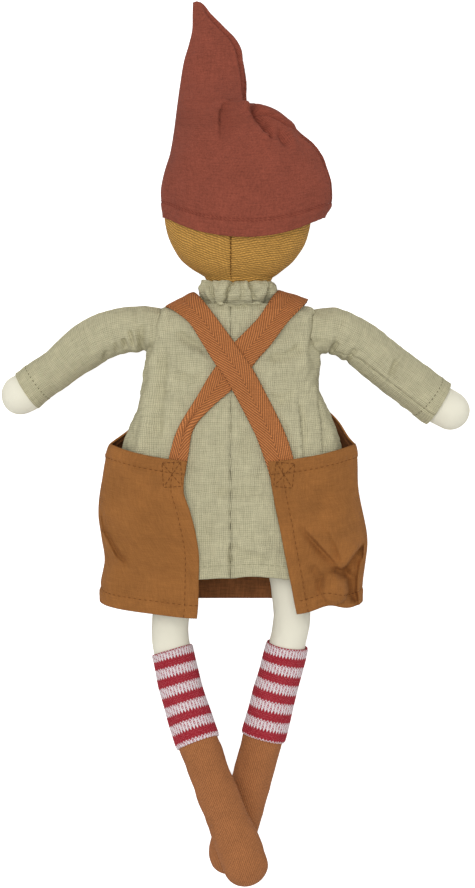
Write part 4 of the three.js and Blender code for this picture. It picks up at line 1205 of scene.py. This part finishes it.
left_arm = arm_limb(
    -1, -42.7, [(0, 0), (10, 1), (25.3, 4.3), (42.6, 12.4), (57.7, 23.7), (69.6, 32.4), (74.6, 35.5)]
)
right_arm = arm_limb(
    1, 45.4, [(0, 0), (9, 1.4), (21.3, 7.5), (37.2, 19.9), (55.6, 33.7), (63.4, 39.4), (71.2, 43.8)]
)
SLEEVE_END = 0.86
left_leg = Limb([
    (-29, -11.9, 22, 20, 20),
    (-35.6, -45, 22, 20, 20),
    (-33.2, -66, 23, 20, 20),
    (-26.6, -91, 25, 20.6, 20),
    (-18, -116, 29, 21.6, 20),
    (-7.4, -143, 33.2, 22, 21),
    (1, -163.5, 34.2, 24, 23),
    (5.2, -175.6, 34.2, 24, 23),
])
right_leg = Limb([
    (27, -11.9, 22, 20, 20),
    (30.4, -39, 20, 20, 20),
    (26.6, -62, 16, 20, 20),
    (20, -87, 12.8, 20.6, 20),
    (13.4, -113, 9.8, 21.6, 20),
    (6, -139, 9.8, 22, 21),
    (-0.5, -159, 10.8, 23, 23),
    (-3.2, -168.5, 10.8, 23, 24),
])
SOCK_FROM, SOCK_TO, BOOT_FROM = 0.24, 0.535, 0.485


SLEEVE_LONG = 66.0
# The share of the sleeve over which it joins the tunic.
ARMHOLE_SHARE = 0.13
# Creases of the sleeves seen from behind: height, path and width of each.
SLEEVE_CREASES = {
    "left": [
        (-1.8, [(-49.0, 101), (-51.0, 106), (-50.8, 112), (-50.2, 119)], 1.5),
        (1.5, [(-47, 103), (-48.2, 110), (-48, 120)], 1.3),
        (1.2, [(-53.2, 103), (-53.9, 108), (-54.5, 114)], 1.0),
        (-2.6, [(-54.8, 103), (-56.2, 108), (-57.5, 114)], 1.1),
        (-2.4, [(-59.0, 103), (-60.2, 106), (-61.0, 109)], 1.1),
        (-1.6, [(-63.5, 101), (-64.5, 104), (-65.5, 107)], 1.1),
        (-1.6, [(-71, 97), (-70.5, 100), (-69, 103)], 1.3),
        (0.7, [(-60, 108), (-75, 101), (-86, 92)], 4.0),
    ],
    "right": [
        (-1.8, [(51.0, 100.5), (52.9, 103.6), (55.4, 107)], 1.3),
        (0.9, [(50, 106), (53, 110), (56, 113)], 2.2),
        (-1.6, [(58.5, 95), (61, 98.5), (65.2, 103.6)], 1.2),
        (0.8, [(56.5, 97), (59, 101), (62.5, 105.5)], 1.4),
        (-2.4, [(83, 87.5), (84.6, 91.5), (86.4, 95.6), (87.2, 98.5)], 1.3),
        (1.4, [(85.6, 86.5), (87.4, 91), (89.2, 96)], 1.6),
    ],
}
# How the left sleeve is pushed up or down along its length: how far, where and over what length.
LEFT_SHIFTS = ((2.1, 28, 19), (-1.1, 43, 9), (0.6, 57, 7))
SLEEVE_RADIUS = 12.4
ARMHOLE_HALF_DEEP = 17
HAND_ROWS = 110
# How far each hand is drawn in under its cuff, and how deep the hem of each cuff is.
HAND_TUCK = {"left": 2.8, "right": 1.7}
CUFF_DEEP = {"left": 7.5, "right": 11.0}


def build_arm(name, limb, seed, tunic):
    body = name + "_arm"
    hand = Sheet(limb.capped(0.0, HAND_ROWS, 72, near=True), closed=True)
    inside_body = fade(np.abs(hand.points[..., 0] - limb.middle(0.0)[0]), 14, 2)
    along = np.clip((np.arange(len(hand.points)) - DOME_ROWS) / (HAND_ROWS - 1), 0, 1)[:, None]
    tucked = np.maximum(3.5 * inside_body, HAND_TUCK[name] * fade(along, SLEEVE_END, SLEEVE_END - 0.07))
    hand = hand.raised(ripples(hand.points, (0.14, 9, seed), (0.06, 4, seed + 1)) - tucked)
    padded_piece(body + "_cloth", hand, skin, body, body + "_skin", fill=0.85)
    inside = limb.capped(0.0, 60, 40, out=-5.2, near=True)
    stuffing_piece(body + "_stuffing", inside, (0.25, 5, seed + 2), body, body + "_filling")
    build_sleeve(name, limb, seed + 3, tunic)


def build_sleeve(name, limb, seed, tunic):
    body, side = name + "_arm", -1 if name == "left" else 1
    columns = 120
    angle = full_turn(columns)[None]
    share = np.linspace(0, 1, 130)[:, None]
    reach = share * SLEEVE_LONG
    points = limb.tube(share[:, 0] * SLEEVE_END, columns, out=1.7)
    slim, seam = 0.0, 0.0
    if name == "left":
        for shift, place, wide in LEFT_SHIFTS:
            points[..., 1] += shift * bell(reach - place, wide)
        slim = 1.9 * fade(reach, 33, 47) * (1 - 0.4 * fade(reach, 60, 72))
    else:
        from_seam = (angle - np.radians(20 + 36 * fade(share, 0.1, 0.5))) * SLEEVE_RADIUS
        seam = (0.4 * bell(from_seam - 1.8, 1.3) - 0.9 * bell(from_seam, 0.7)) * fade(share, 0.15, 0.4)
    under, above = side * np.cos(angle), np.maximum(0, np.sin(angle))
    rings = np.cos(2 * math.pi * reach / 7.5 + 1.0 * ripple(points, 16, seed))
    folds = 0.5 * rings * fade(share, 0.5, 0.1) * np.maximum(0, 0.2 + 0.8 * under)
    folds = folds + above * (0.5 * bell(reach - 14.5, 2.4) - 0.8 * bell(reach - 11, 1.6))
    crinkle = ripples(points, (0.05, 5, seed + 1), (0.06, 2.4, seed + 2), (0.05, 12, seed + 3))
    creases = creased(ridge, points[..., 0], points[..., 1], SLEEVE_CREASES[name])
    cuff_from = SLEEVE_LONG - CUFF_DEEP[name]
    cuff = 0.1 * fade(reach, cuff_from - 1, cuff_from + 1) + 0.5 * fade(share, 0.3, 0.8)
    relief = folds + seam + crinkle + fade(np.sin(angle), -0.5, 0.1) * creases + cuff - slim
    sheet = Sheet(points, closed=True).raised(relief)
    hole = limb.tube([0.0], columns, out=3.8)[0] + np.array([-side * 1.5, -0.6, 0])
    armhole, _ = laid_on(surface(tunic), hole, 0.2)
    armhole[:, 2] = np.clip(armhole[:, 2], BODY_Z - ARMHOLE_HALF_DEEP, BODY_Z + ARMHOLE_HALF_DEEP)
    joined = fade(share, 0, ARMHOLE_SHARE)[..., None]
    sheet = Sheet(armhole[None] * (1 - joined) + sheet.points * joined, closed=True)
    sleeve = sheet_piece(name + "_sleeve_cloth", sheet, gauze, thick=0.9, middle=0.25)
    near, far = (limb.middle(0.0) + np.array([side * out, 0, 0]) for out in (1.0, 13.0))
    turn_between(sleeve, ("torso", body), near, far, name + "_sleeve")
    cut_from(sleeve, sheet, "stretched", body + "_cloth")
    line = sheet.at(cuff_from / SLEEVE_LONG, np.linspace(0, 1, 300))
    form = {"pitch": 2.5, "length": 1.4, "thick": 0.5, "lift": 0.1}
    ride_on(stitch_piece(name + "_cuff_stitches", [line], dark_sage_thread, **form), body)


def build_leg(name, limb, seed, sock_shift, sock_slant, sock_rows, toe):
    body = name + "_leg"
    turn = np.linspace(0, math.pi / 2, 12)[1:][::-1]
    top = limb.tube([0.0] * len(turn), 72, ahead=-10.0 * np.sin(turn), shrink=np.cos(turn))
    sheet = Sheet(np.concatenate([top, limb.tube(np.linspace(0, BOOT_FROM, 90), 72)]), closed=True)
    sheet = sheet.rippled((0.12, 9, seed), (0.06, 3.5, seed + 1))
    padded_piece(body + "_cloth", sheet, skin, body, body + "_skin", fill=0.9)
    boot = Sheet(limb.capped(BOOT_FROM, 110, 80, toe=toe), closed=True)
    boot = boot.raised(ripples(boot.points, (0.15, 10, seed + 2), (0.07, 3.5, seed + 3)) + 0.1)
    padded_piece(name + "_boot_cloth", boot, boot_cotton, body, name + "_boot", fill=0.95, middle=0.25)
    inside = limb.capped(0.0, 100, 40, out=-1.8, near=True, toe=toe)
    stuffing_piece(body + "_stuffing", inside, (0.25, 5, seed + 4), body, body + "_filling")
    build_sock(name, limb, seed + 5, sock_shift, sock_slant, sock_rows)


SOCK_STITCHES = 40


def build_sock(name, limb, seed, shift, slant, rows):
    """A knitted tube whose stitches stand out as small slanted pairs. slant tips its top edge over."""
    per_column, per_row = 6, 5
    columns = SOCK_STITCHES * per_column
    share = np.linspace(0, 1, rows * per_row + 1)
    places = SOCK_FROM + shift + (SOCK_TO - SOCK_FROM - shift * 0.4) * share
    points = limb.tube(places, columns, out=0.9)
    along, _, _ = limb.axes(places)
    tip = slant * np.cos(full_turn(columns)) * (1 - share)[:, None] ** 1.5
    points = points + along[:, None] * tip[..., None]
    column = (np.arange(columns + 1) / per_column)[None]
    row = (share * rows)[:, None]
    arm = np.abs(column % 1 - 0.5)[:, :-1] * 2
    stitch = np.sin(math.pi * (row + arm * KNIT_LEAN)) ** 2 * (0.45 + 0.55 * np.sin(math.pi * arm) ** 2)
    ends = 0.45 * fade(share, 0.03, 0.0)[:, None] + 0.35 * fade(share, 0.97, 1.0)[:, None]
    sheet = Sheet(points, closed=True).raised(0.42 * stitch + 0.12 * ripple(points, 8, seed) - ends + 0.35)
    threads = np.broadcast_arrays(column * KNIT_WIDE, row * KNIT_TALL)
    made = sheet_piece(name + "_leg_warmer", sheet, knit, thick=0.8, threads=threads)
    ride_on(made, name + "_leg", name + "_sock")
    cut_from(made, sheet, "stretched", name + "_leg_cloth")


# Apron

apron_left = smooth(
    (-40, -72.4), (-24, -72.8), (-11, -71.6), (1, -73.8), (14, -75.2), (32, -72.4), (50, -68.8),
    (58, -60.5), (66, -56.0), (80, -52.5), (100, -51.0),
)
apron_right = smooth(
    (-40, 68.4), (-12, 68.9), (4, 69.6), (28, 66.6), (48, 65.0), (58, 60.8), (66, 56.4), (76, 50),
    (100, 46),
)
apron_deep = smooth((-40, 27.3), (52, 27.3), (100, 26.8))
apron_wall = Wall(apron_left, apron_right, apron_deep, constant(BODY_Z), 2.3)
left_edge = smooth(
    (-42, -21.4), (-31, -20.4), (-9, -20.0), (5, -21.9), (15.6, -24.5), (26.7, -28.0), (42, -26.5),
)
right_edge = smooth((-40, 33.3), (-34, 31.9), (-17.8, 28.6), (1.8, 24.7), (26.7, 19.4), (42, 17.3))
# The folded pocket at the lower right stands out as a ball round this place.
BALL_X, BALL_Y, BALL_WIDE, BALL_TALL = 53.0, -25.4, 7.4, 8.8
APRON_HEM, APRON_WAIST, BIB_TOP = -32.4, 51.8, 100
BIB_REACH = 58 / 99
PATCH_LEFT, PATCH_RIGHT = (-34.2, 35.4), (25.8, 35.2)
PATCH_WIDE, PATCH_TALL = 10.0, 13.0
HEM_WIDE = 7
APRON_WIDE = 395
# The levels between which the apron's two side edges run.
EDGE_LOW, EDGE_TALL = -39, 81


# The apron's creases, in the same way.
APRON_RIDGES = (
    (-0.8, [(-66, -30), (-54, -22), (-44, -24)], 5),
    (1.0, [(-40, 20), (-36, -4), (-38, -26)], 7),
    (-0.8, [(-52, 30), (-46, 10), (-48, -10)], 6),
    (1.8, [(38, -6), (45, -15), (49, -20)], 3.6),
    (-2.2, [(40, -12), (45, -19), (46.2, -29)], 2.2),
    (1.5, [(62, 30), (57, 14), (58, -2)], 5.0),
    (-0.8, [(48, 30), (46, 14), (50, 0)], 5.0),
    (-6.0, [(54, -17), (58.5, -17.5), (61.4, -20), (61.8, -27), (63.2, -34)], 2.6, 0.12),
)
APRON_OVERFOLDS = (
    (3.0, [(-57, -14), (-64, -8), (-72, 6), (-76, 17)], 7, 1.6, 0.2, 0.5),
    (5.0, [(33, 11), (37.3, 5.4), (48.3, -7.0), (55.0, -15.0), (57.0, -16.6)], 12, 2.0, 0.5, 0.5, 1.0),
    (6.5, [(51, -13.6), (55.0, -15.4), (57.4, -15.6), (60, -13), (63, -8), (68, -1)], 9, 3.4, 0.2, 0.9, 1.5),
    (2.8, [(66.6, -8), (65.2, -12), (64.4, -20), (64.8, -30), (65.6, -42)], 4.0, 1.6, 0.1, 0.6),
)


def apron_top(angle):
    across, s = np.abs(np.cos(angle)), np.sin(angle)
    fall = np.clip((across - BIB_REACH) / (1 - BIB_REACH), 0, 1)
    back = APRON_WAIST - 10 * s**2
    front = BIB_TOP - (BIB_TOP - APRON_WAIST) * fall ** np.where(np.cos(angle) > 0, 2.6, 1.6)
    return np.where(s >= 0, back, front)


def apron_low(angle):
    return APRON_HEM - 8 * np.maximum(0, np.sin(angle))


def build_apron(tunic):
    columns, rows = 420, 110
    s = np.linspace(0, 1, columns)[None]
    v = np.linspace(0, 1, rows)[:, None]
    edge_y = EDGE_LOW + v * EDGE_TALL
    start = apron_wall.angle_at(right_edge(edge_y), edge_y)
    end = apron_wall.angle_at(left_edge(edge_y), edge_y) - 2 * math.pi
    angle = start + (end - start) * s
    low, top = apron_low(angle), apron_top(angle)
    low = low - 1.5 * bell(s - 1, 0.05) + 3.2 * bell(s - 0.055, 0.03)
    sheet = Sheet(apron_wall.points(low + v * (top - low), angle)[:, ::-1])
    x, y, z = (sheet.points[..., k] for k in range(3))
    back = (z > BODY_Z + 8).astype(float)
    far = 200
    edge = np.minimum(np.abs(x - left_edge(y)) + far * (x > 0), np.abs(x - right_edge(y)) + far * (x < 0))
    edge = edge + far * (1 - back)
    tall = (top - low)[:, ::-1]
    hem_gap = np.minimum(np.minimum(v * tall, tall - v * tall), edge)
    hem = 0.5 * fade(hem_gap, HEM_WIDE + 0.5, HEM_WIDE - 0.5) - 0.4 * bell(hem_gap - HEM_WIDE, 0.8)
    pucker = 0.15 * bell(hem_gap - HEM_WIDE, 3) * ripple(sheet.points, 2.2, 61)
    soft = 0.5 * ripple(sheet.points, 22, 62) + 0.22 * ripple(sheet.points * np.array([1, 0.6, 1]), 8, 63)
    ball = np.hypot((x - BALL_X) / BALL_WIDE, (y - BALL_Y) / BALL_TALL)
    big = 6.4 * np.maximum(0, 1 - ball**2) ** 0.4 * (1 + 0.16 * ripple(sheet.points, 3.2, 64))
    big = big + creased(ridge, x, y, APRON_RIDGES) + creased(overfold, x, y, APRON_OVERFOLDS)
    near_strap = bell(x - PATCH_RIGHT[0], 9, 4) + bell(x - PATCH_LEFT[0], 9, 4)
    lie = -2.6 * fade(edge, 34, 6) * (1 - 0.6 * near_strap * fade(y, 18, 26))
    threads = sheet.threads()
    sheet = sheet.raised(hem + pucker + soft + back * lie)
    sheet.points[..., 2] += back * big
    lift_off(sheet, surface(tunic), 1.5, back > 0)
    # Its inner face gets the darker copy of the cotton, painted shade.
    made = with_painted_shade_inside(sheet_piece("apron_cloth", sheet, apron_cotton, thick=1.0, threads=threads), apron_shade_painted_inside)
    bend_at_hips(made, "apron")
    across, up = np.linspace(0, 1, 900), np.linspace(0, 1, 200)
    hem_share = HEM_WIDE / tall[0, (across * (columns - 1)).astype(int)]
    side_share = 1.05 * HEM_WIDE / APRON_WIDE
    places = ((hem_share, across), (1 - hem_share, across), (up, side_share), (up, 1 - side_share))
    lines = [sheet.at(*place) for place in places]
    bend_at_hips(stitch_piece("apron_hem_stitches", lines, apron_thread, length=2.1, thick=0.34))
    base = surface(sheet)
    boxes = [from_behind(base, dense(route, 0.5), 0.05) for route in box_routes()]
    form = {"pitch": 2.6, "length": 1.9, "thick": 0.38}
    bend_at_hips(stitch_piece("strap_box_stitches", boxes, apron_thread, **form))
    cut_from(made, sheet, "hung", "tunic_front_cloth", "tunic_left_back", "tunic_right_back")


def box_routes():
    """The stitched box and its two diagonals at the lower end of each strap."""
    w, h = PATCH_WIDE / 2, PATCH_TALL / 2
    for (x0, y0), lean in ((PATCH_LEFT, 0.06), (PATCH_RIGHT, -0.1)):
        corners = ((-w, h), (w, h), (w, -h), (-w, -h))
        a, b, c, d = ((x0 + x - lean * y, y0 + y + lean * x) for x, y in corners)
        yield from ([a, b, c, d, a], [a, c], [b, d])


# Straps

def strap_route(back, side):
    """A strap's middle line: up the back, over the shoulder and down the front to the bib."""
    route = [(x, y, 60.0) for x, y in back]
    route += [(side * 31, 129.5, 40), (side * 31.4, 131, 28), (side * 30, 129, 8)]
    route += [(-3 + side * 21.7, 112, 0), (-3 + side * 21.7, 86, 0)]
    lengths = run(route)
    return smooth_path(lengths, route)(np.arange(0, lengths[-1], 1.0))


# The two edges of each strap at the shoulder, seen from behind. They end at the fold over the shoulder.
left_strap_edges = (
    [(-20.5, 110.1), (-23.2, 114.5), (-26.5, 118.2), (-32.4, 122.6), (-37.8, 125.8)],
    [(-8.6, 116.6), (-15.1, 125.3), (-20.0, 131.2), (-22.6, 132.8)],
)
right_strap_edges = (
    [(7.6, 114.5), (14.0, 122.0), (18.4, 129.0), (22.7, 134.0)],
    [(18.4, 104.7), (24.8, 113.4), (29.2, 118.8), (34.6, 124.2), (38.6, 128.9)],
)
# The straps leave the back and reach the front at these heights on their way over the shoulder.
SHOULDER_FROM, SHOULDER_TO = 103, 112
STRAP_OUT = 1.3
STRAPS_CROSS = (1.1, 93.5)
TAPE_COLUMNS = 17
# The right strap's width at each height, where its lower end is gathered.
gathered_wide = smooth(
    (36, 10.5), (44, 9.8), (50, 9.2), (55, 7.6), (60, 6.0), (65, 5.6), (70, 7.4), (77, 10.5),
    (87, TAPE_WIDE), (130, TAPE_WIDE),
)


def strap_sheet(base, route, out, wide):
    """Tape along a route on a surface, that far out and that wide at each step."""
    middle, ups = laid_on(base, route, 0.0)
    soften(middle, 12)
    soften(ups, 12)
    side = unit(np.cross(np.gradient(middle, axis=0), ups))
    offsets = (side * (share * wide)[:, None] for share in np.linspace(-0.5, 0.5, TAPE_COLUMNS))
    points = np.stack([laid_on(base, middle + offset, out)[0] for offset in offsets], axis=1)
    soften(points, 10)
    soften(points.transpose(1, 0, 2), 10)
    return Sheet(points)


def over_shoulder(sheet, edges):
    """Tape with those edges from its back to the shoulder, bent round over it to the front."""
    points, middle = sheet.points, sheet.points.shape[1] // 2
    first = np.argmax(points[:, middle, 1] > SHOULDER_FROM)
    last = len(points) - 1 - np.argmax(points[::-1, middle, 1] > SHOULDER_TO)
    turn = np.linspace(0, math.pi, last - first + 1)[:, None]
    level, rise = rounded(turn, 1.0, 1.0, 2 / 0.77)
    start, end = points[first].copy(), points[last].copy()
    sides = []
    for places, corner in zip(edges, (start[0], start[-1])):
        line = np.array([corner[:2].tolist()] + places)
        lengths = run(line)
        sides.append(smooth_path(lengths / lengths[-1], line)(rise[:, 0]))
    share = np.linspace(0, 1, points.shape[1])[None, :, None]
    up_back = sides[0][:, None] * (1 - share) + sides[1][:, None] * share
    fold = up_back[np.argmax(rise)][None]
    up_front = end[None, :, :2] + (fold - end[None, :, :2]) * rise[..., None]
    points[first : last + 1, :, :2] = np.where(turn[..., None] < math.pi / 2, up_back, up_front)
    points[first : last + 1, :, 2] = (start[:, 2] + end[:, 2]) / 2 + (start[:, 2] - end[:, 2]) / 2 * level
    soften(points, 6)
    return sheet


def build_straps(plain):
    base = surface(plain)
    edge = np.linspace(-1, 1, TAPE_COLUMNS)[None]
    right_route, left_route = strap_route(right_strap_back, 1), strap_route(left_strap_back, -1)
    on_back_right, on_back_left = right_route[:, 2] > 30, left_route[:, 2] > 30
    twist = bell(right_route[:, 1] - 63, 8) * on_back_right
    crossing = np.linalg.norm(left_route[:, :2] - np.array(STRAPS_CROSS), axis=1)
    over = 1.4 * bell(crossing, 13, 4) * on_back_left
    over = np.convolve(np.pad(over, 4, mode="edge"), np.ones(9) / 9, mode="valid")
    right_wide = np.where(on_back_right, gathered_wide(right_route[:, 1]), TAPE_WIDE)
    rolled = twist[:, None] * (1.8 * np.clip(edge, 0, 1) ** 2 + 0.7 * np.cos(edge * 4))
    for name, route, out, wide, shape, edges in (
        ("left_strap", left_route, over, np.full(len(left_route), TAPE_WIDE), 0, left_strap_edges),
        ("right_strap", right_route, 0, right_wide, rolled, right_strap_edges),
    ):
        sheet = over_shoulder(strap_sheet(base, route, STRAP_OUT + out, wide), edges)
        lift_off(sheet, base, STRAP_OUT, sheet.points[..., 2] > BODY_Z + 6)
        relief = shape + 0.15 * np.abs(edge) ** 6 + ripples(sheet.points, (0.25, 12, 81), (0.12, 4, 82))
        sheet = sheet.raised(relief)
        made = ride_on(sheet_piece(name + "_tape", sheet, tape, thick=1.1), "torso", name)
        cut_from(made, sheet, "laid", "tunic_left_back", "tunic_right_back", "tunic_front_cloth")


# Hat

hat_left = smooth(
    (162, -38.6), (175, -39.2), (182, -40.2), (188, -40.6), (195, -39.5), (201, -37.9), (208, -35.7),
    (220, -33.6), (233, -32.0), (246, -30.3), (259, -28.2), (268, -25.6), (276, -23.8), (285, -23.6),
    (291.2, -23.4),
)
hat_right = smooth(
    (162, 44.5), (175, 48.0), (181, 51.6), (188, 52.0), (194, 51.4), (201, 49.2), (207, 47.0), (214, 42.0),
    (220, 34.9), (227, 28.3), (231.5, 23.0), (234.4, 16.5), (236.2, 7.5), (238.5, 5.9), (246, 6.0),
    (253, 5.3), (259, 4.2), (266, 2.5), (272, -1.0), (279, -7.4), (285, -12.9), (289, -16.2),
    (291.2, -18.8),
)
hat_deep = smooth(
    (162, 33.6), (174, 33.9), (200, 33.6), (212, 30.6), (224, 25.6), (236, 20), (250, 14.2), (266, 9.6),
    (280, 5.8), (291.2, 1.5),
)
hat_middle = smooth((162, 32), (208, 32), (226, 29.6), (246, 25), (291.2, 19))


def hat_lift(angle, y):
    """How far the hat's lower levels are moved down on the back and up on the front."""
    rise = fade(y, (HAT_HEM + HAT_TIP) / 2, HAT_HEM)
    s = np.sin(angle)
    return rise * np.where(s > 0, -12 * s * s, 5 * s * s)


hat_seam_inset = smooth(
    (174, 0.1), (196, 0.5), (214, 1.2), (220, 1.7), (222.5, 2.6), (225, 5.0), (229, 8.8), (232, 11.0),
    (234.4, 8.5), (236.4, 1.8), (241, 1.0), (255, 1.3), (272, 2.2), (284, 1.8), (291.2, 0.3),
)
hat_crest = smooth(
    (162, 5), (200, 4), (222, -4), (238, -12.5), (252, -13.2), (270, -13.5), (285, -18.4), (291.2, -21.2),
)
HAT_COLUMNS, HAT_POWER = 150, 2.1
# The levels between which the hat's rows are even, and how many rows each span has.
HAT_LEVELS, HAT_ROWS = (HAT_HEM, 226, 242, HAT_TIP), (80, 34, 56)
HAT_HEM_WIDE = 7.7


def hat_section(angles, rows):
    """A level section whose highest line, the crest, doesn't follow the notch on the right."""
    share_x, z = rounded(angles, 1.0, hat_deep(rows), HAT_POWER)
    crest = hat_crest(rows)
    x = crest + share_x * np.where(share_x > 0, hat_right(rows) - crest, crest - hat_left(rows))
    return x, hat_middle(rows) + z


# The hat's creases, in the same way.
HAT_RIDGES = (
    (-3.4, [(7.5, 233), (10.6, 227), (14.2, 221), (17.8, 216)], 2.4, 0.2),
    (-3.2, [(22.6, 222), (25.0, 216), (28.5, 209)], 2.0, 0.4),
    (2.4, [(26.6, 222), (29.4, 216), (32.4, 208)], 2.6, 0.4),
    (-1.6, [(-2.0, 230), (-3.5, 222), (-4.0, 210)], 4.0, 0.4),
    (-1.2, [(-14, 246), (-15, 232), (-14, 216)], 4.0, 0.4),
    (0.9, [(-30, 196), (-10, 200), (14, 196), (34, 188)], 9),
)
HAT_OVERFOLDS = (
    (4.4, [(19.4, 213), (16.4, 218.4), (11.4, 225.6), (8.0, 231.4), (4.9, 237)], 4.6, 2.8, 0.2, 1.1, 2.1),
    (2.8, [(-8.6, 208), (-8.4, 220), (-8.2, 228), (-6.6, 232.6), (-2.4, 235.6),
        (3.4, 238.0)], 6.0, 4.0, 0.5, 0.8, 3.2),
)


def hat_creases(points):
    x, y, z = points[..., 0], points[..., 1], points[..., 2]
    back = fade(z - hat_middle(y), -2, 4)
    return back * (creased(ridge, x, y, HAT_RIDGES) + creased(overfold, x, y, HAT_OVERFOLDS))


def with_tip(sheet):
    """The hat's sheet with rows that close it at its tip."""
    top = sheet.points[-1][None]
    tip = top.mean(axis=1) + np.array([0, 0.7, 0])
    steps = np.array([0.55, 0.85, 1.0])[:, None, None]
    return Sheet(np.concatenate([sheet.points, top * (1 - steps) + tip * steps]), closed=True)


def build_hat():
    spans = zip(HAT_LEVELS, HAT_LEVELS[1:], HAT_ROWS)
    rows = np.concatenate([[HAT_HEM]] + [np.linspace(low, high, count)[1:] for low, high, count in spans])
    from_crest = hat_right(rows) - hat_crest(rows)
    seam = np.arccos((1 - hat_seam_inset(rows) / from_crest) ** (HAT_POWER / 2))
    angles = shared_out([seam, 0 * rows + math.pi, 2 * math.pi + seam], (HAT_COLUMNS, HAT_COLUMNS))
    level = np.broadcast_to(rows[:, None], angles.shape)
    x, z = hat_section(angles, level)
    sheet = Sheet(np.stack([x, level + hat_lift(angles, level), z], axis=2), closed=True)
    facing = fade(np.abs(sheet.normals()[..., 2]), 0.1, 0.6)
    soft = ripples(sheet.points, (0.5, 17, 71), (0.18, 7, 72)) * facing
    up = (rows - HAT_HEM)[:, None]
    from_hem = up - HAT_HEM_WIDE
    hem = 0.5 * fade(from_hem, 0.5, -0.5) - 0.22 * bell(from_hem, 0.9)
    hem = hem + 0.12 * ripple(sheet.points, 2.2, 73) * fade(up, 11, 7)
    past_seam, _ = beside(sheet.points[..., 0], sheet.points[..., 1], sheet.points[::3, 0, :2])
    behind = sheet.points[..., 2] > hat_middle(level) - 2
    seam_gap = sheet.from_column(0)
    seam_gap = np.where(behind, np.minimum(np.abs(past_seam), seam_gap), seam_gap)
    rim = 0.7 * bell(seam_gap - 2.0, 1.2) - 4.2 * bell(seam_gap, 1.2)
    close = fade(rows, HAT_TIP, HAT_TIP - 12)[:, None]
    relief = (soft + hem + rim * fade(up, 4, 20)) * close + hat_creases(sheet.points)
    plain, sheet = with_tip(sheet), with_tip(sheet.raised(relief))
    for side, first in (("back", 0), ("front", HAT_COLUMNS)):
        panel = sheet.part(first, first + HAT_COLUMNS)
        threads = plain.part(first, first + HAT_COLUMNS).threads()
        made = sheet_piece("hat_" + side, panel, hat_jersey, thick=1.0, threads=threads)
        ride_on(made, "hat", f"hat_{side}_panel")
        cut_from(made, panel, "stretched", "hair_left", "hair_right", "face")
    across = np.linspace(0, 1, 1200)
    row_step = (HAT_LEVELS[1] - HAT_HEM) / (HAT_ROWS[0] - 1)
    share = HAT_HEM_WIDE / row_step / (len(sheet.points) - 1)
    lines = [sheet.at(share, across), sheet.at(share * 1.16, across)]
    form = {"pitch": 2.4, "length": 2.0, "thick": 0.34, "slant": 0.8}
    ride_on(stitch_piece("hat_hem_stitches", lines, hat_thread, **form), "hat")


# Room, light and camera


FLOOR_HALF = 1500
FLOOR_WHITE, FLOOR_GLOW = (0.9, 0.9, 0.9, 1), (0.75, 0.75, 0.75, 1)
SKY_STRENGTH, SUN_ENERGY, SUN_ANGLE, SUN_FROM = 0.6, 1.6, 36, (-0.1, 0.08, 1.0)


def build_room():
    """A pale floor that only the camera sees glow, a white sky and a soft sun."""
    corners = [(x * FLOOR_HALF, y * FLOOR_HALF, FLOOR_Z) for x, y in ((-1, -1), (1, -1), (1, 1), (-1, 1))]
    floor = mesh_piece("floor", corners, [(0, 1, 2, 3)])
    floor.location.z = -in_frame((0, 0, FLOOR_Z))[2] - 0.0002
    pale = Finish("pale floor", "cotton_skin")
    pale.shader.inputs["Base Color"].default_value = FLOOR_WHITE
    glow = pale.mix(pale.node("LightPath", out="Is Camera Ray"), (0, 0, 0, 1), FLOOR_GLOW)
    plug(pale.tree, pale.shader.inputs["Emission Color"], glow)
    pale.shader.inputs["Emission Strength"].default_value = 1.0
    floor.data.materials.append(pale.material)
    world = bpy.data.worlds.new("studio")
    bpy.context.scene.world = world
    world.use_nodes = True
    sky = world.node_tree.nodes["Background"]
    sky.inputs["Color"].default_value = (1, 1, 1, 1)
    sky.inputs["Strength"].default_value = SKY_STRENGTH
    lamp = bpy.data.lights.new("window", "SUN")
    lamp.energy = SUN_ENERGY
    lamp.angle = math.radians(SUN_ANGLE)
    sun = bpy.data.objects.new("window", lamp)
    sun.rotation_mode = "QUATERNION"
    sun.rotation_quaternion = Vector(SUN_FROM).to_track_quat("Z", "Y")
    bpy.context.scene.collection.objects.link(sun)


PIXEL = 0.54
PHOTO_TALL = 888
CAMERA_X, CAMERA_Y, CAMERA_HIGH = 0.81, 51.82, 2400
SENSOR = 36
SEEN_Z = 28


def build_camera():
    """A camera that looks straight down, as far as the photo reaches from its foot to its top."""
    data = bpy.data.cameras.new("camera")
    data.sensor_width = SENSOR
    data.lens = SENSOR * (CAMERA_HIGH - SEEN_Z) / (PHOTO_TALL * PIXEL)
    camera = bpy.data.objects.new("camera", data)
    camera.location = in_frame((CAMERA_X, CAMERA_Y, CAMERA_HIGH))
    bpy.context.scene.collection.objects.link(camera)
    bpy.context.scene.camera = camera


build_camera()
build_room()
build_body()
build_neck()
build_head()
plain, tunic = build_tunic()
build_collar()
build_arm("left", left_arm, 101, tunic)
build_arm("right", right_arm, 121, tunic)
build_leg("left", left_leg, seed=141, sock_shift=0.0, sock_slant=0.9, sock_rows=42, toe=0.9)
build_leg("right", right_leg, seed=161, sock_shift=0.014, sock_slant=0.5, sock_rows=41, toe=1.18)
build_apron(tunic)
build_straps(plain)
build_hat()
bpy.context.scene.view_settings.view_transform = "Standard"
